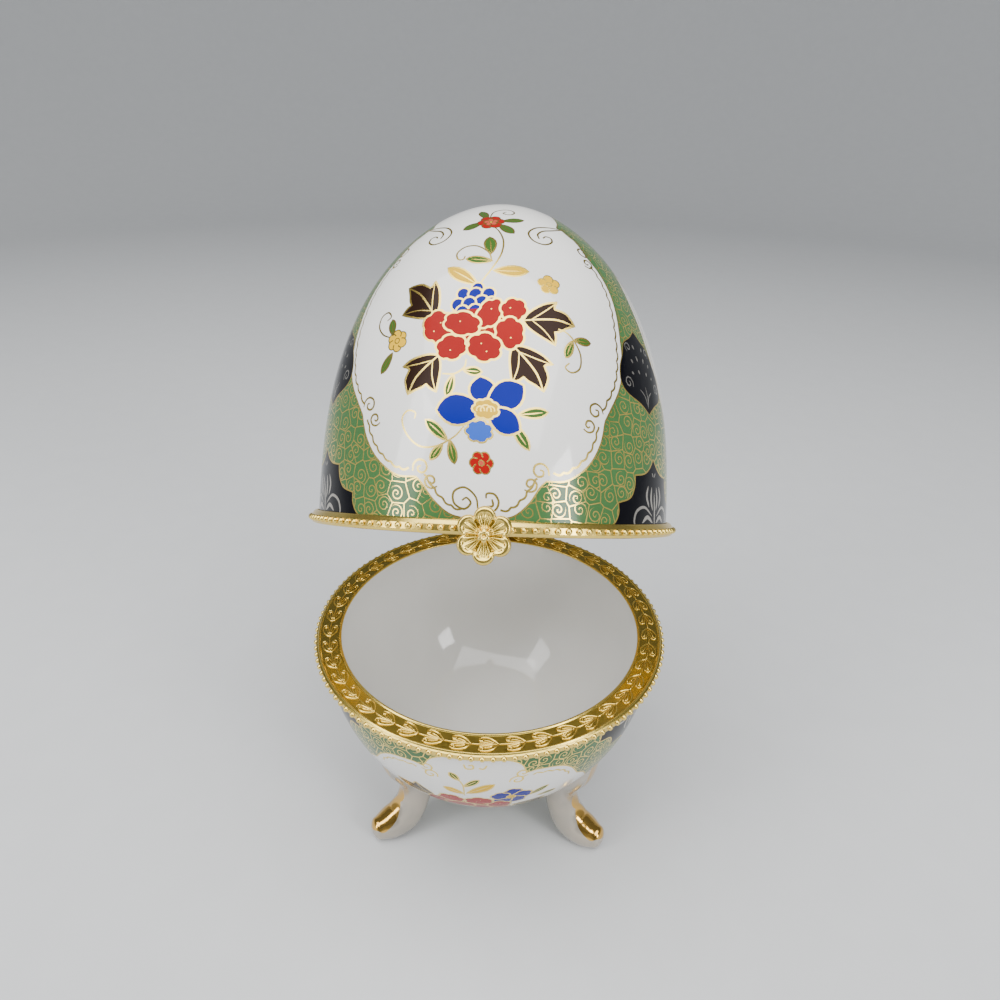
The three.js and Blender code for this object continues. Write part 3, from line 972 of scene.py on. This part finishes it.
def hook(chart, at, size, turn, flip=1, width=None):
    # one curl of a pair, from its open end winding in
    path = [(0.2, -1.9), (1.3, -1.0), (1.5, 0.4), (0.5, 1.4), (-0.8, 1.1), (-1.2, 0.0),
        (-0.5, -0.8), (0.3, -0.5),
            (0.2, 0.2)]
    stroke(chart, stamp(chart, smoothPath(path, 4), at, size, turn, flip), width or line["curl"], taper=0.35)


def lidPanel(chart):
    whole = 180 / decal["repeats"]
    top = chart["outline"]["s"][-1]
    lobes = [smoothPath(lobe, 6) for lobe in panelLobes]
    edge = np.vstack([lobe[:-1] for lobe in lobes] + [lobes[-1][-1:]])
    mirrored = edge[::-1] * (-1, 1)
    fill(chart, "white", list(edge) + [(whole, top), (-whole, top)] + list(mirrored)[:-1])
    for sign in (1, -1):
        for lobe in lobes:
            stroke(chart, lobe * (sign, 1), line["border"])
    for sign in (1, -1):
        for i, (start, stop) in enumerate(((4, -3), (2, -2), (3, -3))):
            path = waved(chart, lobes[i][start:stop])
            stroke(chart, path * (sign, 1), line["curl"])
        # pairs of curls where two lobes meet
        for x, s, size, turn in ((11.4, 12.4, 0.95, 60), (9.4, 9.8, 0.8, -60), (23.6, 24.6, 0.95, 70),
                                 (21.9, 21.6, 0.8, -70), (21.6, 61.8, 0.95, 80), (22.6, 58.6, 0.8, -60)):
            hook(chart, (sign * x, s), size, sign * turn, sign)
        scroll = [(17.0, 70.0), (15.2, 69.4), (12.0, 68.8), (9.4, 67.6), (8.2, 65.2), (9.4, 62.7),
            (11.8, 61.8),
                  (13.4, 62.9), (13.2, 64.4), (12.0, 64.8), (11.4, 64.0)]
        tendril(chart, [(sign * x, s) for x, s in scroll], line["curl"])
        scroll = [(15.8, 69.3), (13.2, 67.8), (11.2, 66.8), (10.2, 65.2), (10.6, 63.6)]
        tendril(chart, [(sign * x, s) for x, s in scroll], line["curl"])
        scroll = [(15.9, 69.0), (18.0, 66.9), (19.6, 66.0), (20.6, 64.4), (21.3, 62.6)]
        tendril(chart, [(sign * x, s) for x, s in scroll], line["curl"])
    cloud = [(-0.6, 4.6), (-0.9, 7.2), (-2.9, 8.9), (-5.0, 8.0), (-5.0, 5.9), (-3.2, 4.9),
        (-1.9, 6.0), (-2.6, 7.0),
             (-3.5, 6.5)]
    tendril(chart, cloud, line["curl"])
    tendril(chart, [(1.2, 4.7), (2.6, 4.9), (3.3, 6.4), (2.6, 7.8), (1.2, 7.9), (1.0, 7.0)], line["curl"])
    tendril(chart, [(1.1, 5.5), (2.2, 5.7), (2.1, 6.9)], line["curl"])


def medallion(chart):
    # the black panel between two white ones
    half = [(0, 25.6), (3.2, 27.5), (7.4, 29.2), (9.0, 31.4), (8.4, 34.6), (6.6, 37.6), (5.2, 40.2),
        (2.4, 41.8),
            (0, 43.6)]
    middleTurn = 180 / decal["repeats"]
    for centre in (-middleTurn, middleTurn):

        def at(points):
            p = np.array(points, float)
            return np.stack([centre + np.degrees(p[:, 0] / radiusAt(chart, p[:, 1])), p[:, 1]], 1)
        right = smoothPath(half, 4)
        ring = np.vstack([right, right[::-1][1:-1] * (-1, 1)])
        outlined(chart, "black", at(ring), line["vein"])
        for sign in (1, -1):
            for x, s, r, start, hand in ((4.0, 39.4, 1.2, -60, 1), (6.4, 31.6, 1.5, -150, -1)):
                curl = spiral(r, 1.25, start, 9, hand) + (x, s)
                stroke(chart, at(curl * (sign, 1)), line["vein"] * 1.2, "silver", taper=0.4)
            for x, s, lean, long in ((1.6, 39.2, 25, 1.1), (1.2, 36.6, 20, 1.3), (3.4, 36.0, 35, 1.0),
                                     (1.5, 33.9, 20, 1.0), (3.9, 33.6, 60, 0.9)):
                seed = [(x + px, s + py) for px, py in turnedBy(petal(long, 0.62, 5), -lean)]
                fill(chart, "silver", at(np.array(seed) * (sign, 1)))
            stroke(chart, at(smoothPath([(0.1 * sign, 27.4), (0.9 * sign, 29.4), (2.6 * sign, 30.6)], 4)),
                   line["vein"], "silver", taper=0.6)
        stroke(chart, at(smoothPath([(0, 27.0), (0.3, 29.2), (0, 31.4)], 4)), line["vein"],
            "silver", taper=0.6)


def turnedBy(points, degrees):
    c, n = math.cos(math.radians(degrees)), math.sin(math.radians(degrees))
    return [(x * c - y * n, x * n + y * c) for x, y in points]


def lambrequin(chart, lotus=True):
    # the black scalloped patch that rises from the rim, with a silver lotus
    runs = [
        [(0, 16.4), (-2.0, 14.4), (-4.4, 13.2), (-7.8, 12.8)],
        [(-7.8, 12.8), (-8.2, 10.4), (-9.8, 8.2), (-13.4, 7.2)],
        [(-13.4, 7.2), (-13.4, 5.2), (-14.4, 3.4), (-16.6, 1.6), (-17.4, -0.6)],
    ]
    middleTurn = 180 / decal["repeats"]
    for centre in (-middleTurn, middleTurn):

        def at(points):
            p = np.array(points, float)
            return np.stack([centre + np.degrees(p[:, 0] / radiusAt(chart, np.maximum(p[:, 1], 0))),
                p[:, 1]], 1)
        smooth = [smoothPath(run, 5) for run in runs]
        left = np.vstack([run[:-1] for run in smooth] + [smooth[-1][-1:]])
        fill(chart, "black", at(list(left) + list((left * (-1, 1))[::-1][:-1])))
        for sign in (1, -1):
            for run in smooth:
                stroke(chart, at(run * (sign, 1)), line["border"])
        if not lotus:
            continue
        for sign in (1, -1):
            for path, width in (([(0.9, 5.8), (1.6, 8.0), (1.2, 10.6)], 0.7),
                ([(2.6, 6.4), (3.6, 8.6), (2.8, 10.8)], 0.7),
                                ([(1.2, 4.6), (4.6, 6.4), (7.6, 5.6), (8.6, 3.6), (8.0, 2.4)], 0.6),
                                ([(1.0, 3.2), (3.4, 4.4), (5.6, 3.2)], 0.8),
                                ([(0.2, 12.6), (0.9, 13.6)], 0.3)):
                stroke(chart, at(smoothPath(path, 4) * (sign, 1)), width, "silver", taper=0.85)
        stroke(chart, at(smoothPath([(0, 2.6), (0.1, 6.0), (0, 9.4)], 4)), 0.55, "silver", taper=0.85)


def lidDecoration():
    chart = {"outline": eggOutline(egg["lid"]), "shapes": []}
    whole = 200 / decal["repeats"]
    top = chart["outline"]["s"][-1] + 1
    fill(chart, "green", [(-whole, -1), (whole, -1), (whole, top), (-whole, top)])
    lidPanel(chart)
    medallion(chart)
    lambrequin(chart)
    bouquet(chart)
    return chart["shapes"]


# The bowl carries the same scheme upside down, its panel open below the rim.
bowlLobes = [
    [(0, 3.0), (8.0, 3.4), (13.5, 5.2), (16.0, 8.6)],
    [(16.0, 8.6), (20, 8.2), (27, 9.2), (32, 11.8), (36, 16)],
    [(36, 16), (41, 19), (46, 25), (48, 33), (44, 42), (30, 50), (12, 55), (0, 56)],
]


def bowlDecoration():
    chart = {"outline": eggOutline(egg["bowl"]), "shapes": []}
    whole = 200 / decal["repeats"]
    top = chart["outline"]["s"][-1] + 1
    fill(chart, "green", [(-whole, -1), (whole, -1), (whole, top), (-whole, top)])
    lobes = [smoothPath(lobe, 6) for lobe in bowlLobes]
    edge = np.vstack([lobe[:-1] for lobe in lobes])
    fill(chart, "white", list(edge) + [lobes[-1][-1]] + list((edge[::-1] * (-1, 1))[:-1]))
    for sign in (1, -1):
        for lobe in lobes:
            stroke(chart, lobe * (sign, 1), line["border"])
        path = waved(chart, lobes[1][3:-3])
        stroke(chart, path * (sign, 1), line["curl"])
        for x, s, size, turn in ((10.2, 8.6, 0.8, 120), (9.2, 11.0, 0.9, -120)):
            hook(chart, (sign * x, s), size, sign * turn, sign)
    tendril(chart, [(-2.4, 5.2), (-1.8, 6.6), (-0.4, 6.4), (-0.6, 5.3), (-1.4, 5.6)], line["curl"])
    tendril(chart, [(2.4, 5.2), (1.8, 6.4), (0.8, 6.2)], line["curl"])
    tendril(chart, [(-4.2, 9.6), (-2.6, 12.2), (-1.9, 14.6), (-1.6, 19.0)])
    greenLeaf(chart, (-3.0, 11.6), (-5.2, 8.8), 1.7)
    greenLeaf(chart, (-1.9, 14.2), (1.2, 10.6), 1.8)
    greenLeaf(chart, (-1.7, 18.0), (-6.2, 15.6), 2.4, "yellow")
    greenLeaf(chart, (-1.2, 17.6), (4.6, 12.4), 2.8, "yellow")
    for foot, length, turn, flip in (((-8.4, 24.0), 9.6, 20, -1), ((9.4, 27.0), 10.0, -18, 1),
                                     ((-6.4, 30.0), 9.0, -50, -1), ((6.0, 31.0), 9.0, -56, 1)):
        lobedLeaf(chart, foot, length, -turn * flip, flip)
    greenLeaf(chart, (12.4, 20.2), (16.4, 16.6), 2.0)
    greenLeaf(chart, (14.6, 22.0), (19.0, 21.4), 2.0)
    for x, y in ((0, -2.2), (2.1, -0.7), (1.3, 1.8), (-1.3, 1.8), (-2.1, -0.7)):
        ring = [(x + px, y + py) for px, py in scalloped(1.9, 1.9, 5, 0.12, 4)]
        outlined(chart, "blue", stamp(chart, ring, (8.6, 19.6), 1.15), line["leaf"])
    outlined(chart, "yellow", stamp(chart, scalloped(1.1, 1.1, 6, 0.14, 3), (8.6, 19.6)), line["vein"])
    peony(chart, (-0.4, 26.2), 0.95)
    roundFlower(chart, (0.4, 39.0), 0.98, "red", "rose", 6, 0)
    lambrequin(chart)
    return chart["shapes"]


# Shader groups hold what several finishes share: they put out masks and values only.
def shaderGroup(name, inputs, outputs):
    tree = bpy.data.node_groups.new(name, "ShaderNodeTree")
    for label, value in inputs:
        kind = "NodeSocketVector" if value is None else "NodeSocketFloat"
        socket = tree.interface.new_socket(label, in_out="INPUT", socket_type=kind)
        if value is not None:
            socket.default_value = value
    for label in outputs:
        tree.interface.new_socket(label, in_out="OUTPUT", socket_type="NodeSocketFloat")
    return tree, tree.nodes.new("NodeGroupInput"), tree.nodes.new("NodeGroupOutput")


def maths(tree, operation, a, b=None, c=None, clamp=False):
    node = tree.nodes.new("ShaderNodeMath")
    node.operation = operation
    node.use_clamp = clamp
    for socket, value in zip(node.inputs, (a, b, c)):
        if value is None:
            continue
        if isinstance(value, (int, float)):
            socket.default_value = value
        else:
            tree.links.new(value, socket)
    return node.outputs[0]


def scrollGroup():
    # cells that each hold one gilt spiral, with a gilt line between cells
    tree, given, result = shaderGroup(
        "scrollwork", [("Map", None), ("Cell", 3.5), ("Line", 0.06), ("Coils", 3.9)], ["Gilt"])
    link = tree.links.new
    scaled = tree.nodes.new("ShaderNodeVectorMath")
    scaled.operation = "DIVIDE"
    cell = tree.nodes.new("ShaderNodeCombineXYZ")
    for axis in "XYZ":
        link(given.outputs["Cell"], cell.inputs[axis])
    link(given.outputs["Map"], scaled.inputs[0])
    link(cell.outputs[0], scaled.inputs[1])
    cells = []
    for feature in ("F1", "DISTANCE_TO_EDGE"):
        node = tree.nodes.new("ShaderNodeTexVoronoi")
        node.voronoi_dimensions = "2D"
        node.feature = feature
        node.inputs["Scale"].default_value = 1
        node.inputs["Randomness"].default_value = 0.7
        link(scaled.outputs[0], node.inputs["Vector"])
        cells.append(node)
    local = tree.nodes.new("ShaderNodeVectorMath")
    local.operation = "SUBTRACT"
    link(scaled.outputs[0], local.inputs[0])
    link(cells[0].outputs["Position"], local.inputs[1])
    parts = tree.nodes.new("ShaderNodeSeparateXYZ")
    link(local.outputs[0], parts.inputs[0])
    chance = tree.nodes.new("ShaderNodeSeparateColor")
    link(cells[0].outputs["Color"], chance.inputs[0])
    reach = cells[0].outputs["Distance"]
    turn = maths(tree, "ARCTAN2", parts.outputs["Y"], parts.outputs["X"])
    hand = maths(tree, "MULTIPLY_ADD", maths(tree, "GREATER_THAN", chance.outputs[0], 0.5), 2, -1)
    swung = maths(tree, "MULTIPLY", maths(tree, "DIVIDE", turn, 2 * math.pi), hand)
    phase = maths(tree, "ADD", maths(tree, "MULTIPLY", reach, given.outputs["Coils"]), chance.outputs[1])
    wound = maths(tree, "FRACT", maths(tree, "ADD", phase, swung))
    off = maths(tree, "DIVIDE", maths(tree, "ABSOLUTE", maths(tree, "SUBTRACT", wound, 0.5)),
                given.outputs["Coils"])
    spiral = maths(tree, "LESS_THAN", off, maths(tree, "MULTIPLY", given.outputs["Line"], 0.5))
    inside = maths(tree, "LESS_THAN", reach, 0.43)
    border = maths(tree, "LESS_THAN", cells[1].outputs["Distance"],
                   maths(tree, "MULTIPLY", given.outputs["Line"], 0.5))
    gilt = maths(tree, "MAXIMUM", maths(tree, "MULTIPLY", spiral, inside), border)
    link(gilt, result.inputs["Gilt"])
    return tree


def mottleGroup():
    # slow unevenness and fine specks, both about zero
    tree, given, result = shaderGroup("mottle", [("Place", None), ("Coarse", 90), ("Fine", 1400)],
                                      ["Slow", "Speck"])
    for label, size, detail in (("Slow", "Coarse", 3), ("Speck", "Fine", 2)):
        noise = tree.nodes.new("ShaderNodeTexNoise")
        noise.inputs["Detail"].default_value = detail
        tree.links.new(given.outputs["Place"], noise.inputs["Vector"])
        tree.links.new(given.outputs[size], noise.inputs["Scale"])
        tree.links.new(maths(tree, "SUBTRACT", noise.outputs["Fac"], 0.5), result.inputs[label])
    return tree


scrollTree = scrollGroup()
mottleTree = mottleGroup()


def finish(name, colour, roughness, metallic=0.0, coat=0.0, uneven=0.25, dark=None, gloss=0.5):
    # a Principled finish whose colour and roughness drift a little over the surface
    material = bpy.data.materials.new(name)
    material.use_nodes = True
    tree = material.node_tree
    shader = tree.nodes["Principled BSDF"]
    shader.inputs["Metallic"].default_value = metallic
    shader.inputs["Coat Weight"].default_value = coat
    shader.inputs["Specular IOR Level"].default_value = gloss
    place = tree.nodes.new("ShaderNodeTexCoord")
    mottle = tree.nodes.new("ShaderNodeGroup")
    mottle.node_tree = mottleTree
    tree.links.new(place.outputs["Object"], mottle.inputs["Place"])
    mix = tree.nodes.new("ShaderNodeMix")
    mix.data_type = "RGBA"
    mix.inputs[6].default_value = (*(dark or [c * 0.72 for c in colour]), 1)
    mix.inputs[7].default_value = (*colour, 1)
    share = maths(tree, "MULTIPLY_ADD", mottle.outputs["Slow"], uneven * 4, 0.8, clamp=True)
    tree.links.new(share, mix.inputs[0])
    tree.links.new(mix.outputs[2], shader.inputs["Base Color"])
    rough = maths(tree, "MULTIPLY_ADD", mottle.outputs["Speck"], roughness * 0.5, roughness, clamp=True)
    tree.links.new(rough, shader.inputs["Roughness"])
    return material, tree, shader, mix


giltColour = (0.9, 0.66, 0.16)


def greenGround():
    material, tree, shader, mix = finish("greenGround", (0.05, 0.135, 0.042), 0.16, uneven=0.3, gloss=0.3)
    guide = tree.nodes.new("ShaderNodeUVMap")
    guide.uv_map = "glazeMap"
    scroll = tree.nodes.new("ShaderNodeGroup")
    scroll.node_tree = scrollTree
    tree.links.new(guide.outputs[0], scroll.inputs["Map"])
    gilded = tree.nodes.new("ShaderNodeMix")
    gilded.data_type = "RGBA"
    gilded.inputs[7].default_value = (*giltColour, 1)
    tree.links.new(scroll.outputs[0], gilded.inputs[0])
    tree.links.new(mix.outputs[2], gilded.inputs[6])
    tree.links.new(gilded.outputs[2], shader.inputs["Base Color"])
    tree.links.new(maths(tree, "MULTIPLY", scroll.outputs[0], 0.9), shader.inputs["Metallic"])
    return material


def footLustre():
    # pearly lustre, with a gilt toenail and a gilt drop at the ankle; the drop is gilt and partly a painted
    # reflection of the gilt toe in the ankle's hollow
    material, tree, shader, mix = finish("footLustre", (0.44, 0.39, 0.32), 0.14, 0.35, 0.6, 0.5,
                                         (0.25, 0.25, 0.22))
    where = tree.nodes.new("ShaderNodeAttribute")
    where.attribute_name = "footPlace"
    parts = tree.nodes.new("ShaderNodeSeparateXYZ")
    tree.links.new(where.outputs["Vector"], parts.inputs[0])
    out, aside, up = (parts.outputs[axis] for axis in "XYZ")

    def oval(along, middle, reach, width, narrow=None):
        a = maths(tree, "DIVIDE", maths(tree, "SUBTRACT", along, middle), reach)
        span = width if narrow is None else maths(tree, "MULTIPLY_ADD", a, narrow, width)
        b = maths(tree, "DIVIDE", aside, span)
        total = maths(tree, "ADD", maths(tree, "MULTIPLY", a, a), maths(tree, "MULTIPLY", b, b))
        return maths(tree, "LESS_THAN", total, 1)
    nail = maths(tree, "MULTIPLY", oval(out, foot["nail"][0], foot["nail"][1], foot["nail"][2]),
                 maths(tree, "GREATER_THAN", up, foot["nail"][3]))
    # painted reflection in part: the toe's gilt shown mirrored on the front of the ankle
    drop = maths(tree, "MULTIPLY", oval(up, foot["drop"][0], foot["drop"][1], foot["drop"][2], -1.1),
                 maths(tree, "GREATER_THAN", out, foot["drop"][3]))
    gilt = maths(tree, "MAXIMUM", nail, drop)
    gilded = tree.nodes.new("ShaderNodeMix")
    gilded.data_type = "RGBA"
    gilded.inputs[7].default_value = (0.72, 0.42, 0.08, 1)
    tree.links.new(gilt, gilded.inputs[0])
    tree.links.new(mix.outputs[2], gilded.inputs[6])
    tree.links.new(gilded.outputs[2], shader.inputs["Base Color"])
    tree.links.new(maths(tree, "MULTIPLY_ADD", gilt, 0.65, 0.35), shader.inputs["Metallic"])
    return material


def giltBrass():
    # painted shade: bright on what stands up, darker and duller in the recesses, standing in for their shade
    # and the dark room they reflect
    material, tree, shader, mix = finish("giltBrass", giltColour, 0.24, 1.0, uneven=0.15)
    reliefShade = tree.nodes.new("ShaderNodeAttribute")
    reliefShade.attribute_name = "reliefShade"
    # the painted shade colour, mixed in where the relief share is low
    recessShade = tree.nodes.new("ShaderNodeMix")
    recessShade.data_type = "RGBA"
    recessShade.inputs[6].default_value = (0.34, 0.25, 0.04, 1)
    tree.links.new(reliefShade.outputs["Fac"], recessShade.inputs[0])
    tree.links.new(mix.outputs[2], recessShade.inputs[7])
    tree.links.new(recessShade.outputs[2], shader.inputs["Base Color"])
    return material


paints = [
    finish("whiteGlaze", (0.83, 0.82, 0.79), 0.07, uneven=0.05)[0],
    greenGround(),
    finish("blackGlaze", (0.001, 0.001, 0.003), 0.1, gloss=0.16)[0],
    finish("gilding", giltColour, 0.24, 1.0)[0],
    finish("redEnamel", (0.32, 0.008, 0.006), 0.2, gloss=0.08)[0],
    finish("blueEnamel", (0.004, 0.01, 0.24), 0.2, gloss=0.08)[0],
    finish("yellowEnamel", (0.72, 0.43, 0.02), 0.2, gloss=0.08)[0],
    finish("leafEnamel", (0.045, 0.11, 0.02), 0.2, gloss=0.08)[0],
    finish("bronzeEnamel", (0.022, 0.01, 0.006), 0.22, 0.2, gloss=0.1)[0],
    finish("roseEnamel", (0.5, 0.07, 0.04), 0.2, gloss=0.08)[0],
    finish("skyEnamel", (0.03, 0.1, 0.5), 0.2, gloss=0.08)[0],
    finish("silverGilding", (0.6, 0.56, 0.5), 0.26, 1.0)[0],
    footLustre(),
]
brass = giltBrass()


# Pieces
beadTree = ringTree("beadRing", bead=True)
laurelTree = ringTree("laurelRing", bead=False)

lidMesh, lidOutline, lidLining = shellMesh("lid", egg["lid"], lidDecoration(), asLid)
skinNormals(lidMesh, lidOutline, lidLining, asLid)
newPiece("lidPorcelain", lidMesh, "lid", ["porcelain_lid"], paints)
print("lid:", len(lidMesh.polygons), "faces")

bowlMesh, bowlOutline, bowlLining = shellMesh("bowl", egg["bowl"], bowlDecoration(), asBowl)
shellObject = bpy.data.objects.new("shell", bowlMesh)
bpy.context.scene.collection.objects.link(shellObject)
for material in paints:
    bowlMesh.materials.append(material)
# the feet are cut off inside the wall before they are joined on
core = eggOutline(egg["bowl"], egg["wall"] / 2, 0, 60)
profile = [(0, 0)] + [(r, -z) for r, z in zip(core["r"], core["z"])]
points, faces = lathe(profile, 96, closed=False)
coreMesh = newMesh("core", points, faces)
tidy = bmesh.new()
tidy.from_mesh(coreMesh)
bmesh.ops.remove_doubles(tidy, verts=tidy.verts, dist=1e-4)
bmesh.ops.recalc_face_normals(tidy, faces=tidy.faces)
tidy.to_mesh(coreMesh)
tidy.free()
coreMesh.transform(asBowl)
coreObject = bpy.data.objects.new("core", coreMesh)
bpy.context.scene.collection.objects.link(coreObject)
for turn, outward in foot["places"]:
    one = footMesh(turn, outward)
    for material in paints:
        one.materials.append(material)
    one.polygons.foreach_set("material_index", [paintNames.index("lustre")] * len(one.polygons))
    cutter = bpy.data.objects.new("foot", one)
    bpy.context.scene.collection.objects.link(cutter)
    cut = cutter.modifiers.new("core", "BOOLEAN")
    cut.operation = "DIFFERENCE"
    cut.solver = "MANIFOLD"
    cut.object = coreObject
    union = shellObject.modifiers.new("foot", "BOOLEAN")
    union.operation = "UNION"
    union.solver = "MANIFOLD"
    union.object = cutter
ready = shellObject.evaluated_get(bpy.context.evaluated_depsgraph_get())
bowlMesh = bpy.data.meshes.new_from_object(ready)
for extra in [shellObject, coreObject] + [m.object for m in shellObject.modifiers]:
    bpy.data.objects.remove(extra)
print("bowl:", len(bowlMesh.polygons), "faces", [a.name for a in bowlMesh.attributes])
skinNormals(bowlMesh, bowlOutline, bowlLining, asBowl)
newPiece("bowlPorcelain", bowlMesh, "bowl", ["porcelain_bowl"])

unit = laurelUnit()
vine = grown(laurelTree, unit, {"Count": laurel["count"], "First Turn": 0.0, "Metal": brass})
bowlMetal = joined(metalCollar(collar["bowlProfile"], collar["beadHeights"][0], brass) + [vine])
newPiece("bowlCollar", bowlMetal, "bowl", ["bowl_collar"], [], asBowl)
lidMetal = joined(metalCollar(collar["lidProfile"], collar["beadHeights"][1], brass))
newPiece("lidCollar", lidMetal, "lid", ["lid_collar"], [], asLid)
print("collars:", len(bowlMetal.polygons), len(lidMetal.polygons), "faces")
newPiece("rosetteClasp", rosetteMesh(), "lid", ["rosette_clasp"], [brass], asLid)
outer = (hingeSizes["length"] - hingeSizes["outerKnuckle"]) / 2
bowlLeaf = joined(hingeLeaf(-1, (-outer, outer), hingeSizes["outerKnuckle"]))
lidLeaf = joined(hingeLeaf(1, (0,), hingeSizes["middleKnuckle"]))
newPiece("bowlHingeLeaf", bowlLeaf, "bowl", ["hinge_bowl_leaf"], [brass], asBowl)
newPiece("lidHingeLeaf", lidLeaf, "lid", ["hinge_lid_leaf"], [brass], asLid)
newPiece("hingePinRod", hingePin(), "bowl", ["hinge_pin"], [brass], asBowl)
print("metal pieces done")


# Floor, light and camera
studio = {
    "flat": 0.9,  # metres of level floor round the box
    "cove": 0.5,
    "camera": (7.99, -144.49, 118.75),  # from the middle of the meeting plane
    "pitch": 30.3,
    "heading": 2.4,
    "roll": 1.06,
    "lens": 27.04,
}


def stageFloor():
    profile = [(0.0, 0.0), (studio["flat"], 0.0)]
    for a in np.linspace(0, math.pi / 2, 16)[1:]:
        profile.append((studio["flat"] + studio["cove"] * math.sin(a), studio["cove"] * (1 - math.cos(a))))
    points, faces = lathe(profile, 96, closed=False)
    mesh = newMesh("floor", points, faces)
    mesh.flip_normals()
    floor = bpy.data.objects.new("floor", mesh)
    bpy.context.scene.collection.objects.link(floor)
    mesh.materials.append(finish("paleFloor", (0.6, 0.61, 0.62), 0.6, uneven=0.05)[0])


def softLight(name, place, target, size, power, colour=(1, 1, 1)):
    light = bpy.data.lights.new(name, "AREA")
    light.shape = "RECTANGLE"
    light.size, light.size_y = size
    light.energy = power
    light.color = colour
    lamp = bpy.data.objects.new(name, light)
    bpy.context.scene.collection.objects.link(lamp)
    lamp.location = place
    lamp.rotation_euler = (Vector(target) - Vector(place)).to_track_quat("-Z", "Y").to_euler()
    lamp.visible_camera = False


stageFloor()
softLight("overhead", (-0.03, -0.2, 0.8), (0, -0.04, 0.08), (1.2, 0.8), 15)
softLight("leftSoftbox", (-0.55, -0.35, 0.35), (0, 0, 0.07), (0.2, 0.5), 2.2)
softLight("rightSoftbox", (0.5, -0.42, 0.3), (0, 0, 0.07), (0.16, 0.3), 2.2)
world = bpy.data.worlds.new("studio")
world.use_nodes = True
world.node_tree.nodes["Background"].inputs["Color"].default_value = (0.8, 0.85, 0.9, 1)
world.node_tree.nodes["Background"].inputs["Strength"].default_value = 0.22
bpy.context.scene.world = world

lens = bpy.data.cameras.new("camera")
lens.lens = studio["lens"]
lens.clip_start = 0.01
camera = bpy.data.objects.new("camera", lens)
bpy.context.scene.collection.objects.link(camera)
aim = (Matrix.Rotation(math.radians(studio["heading"]), 4, "Z")
       @ Matrix.Rotation(math.radians(90 - studio["pitch"]), 4, "X")
       @ Matrix.Rotation(math.radians(studio["roll"]), 4, "Z"))
camera.matrix_world = Matrix.Translation(middle + Vector(studio["camera"]) * mm) @ aim
bpy.context.scene.camera = camera
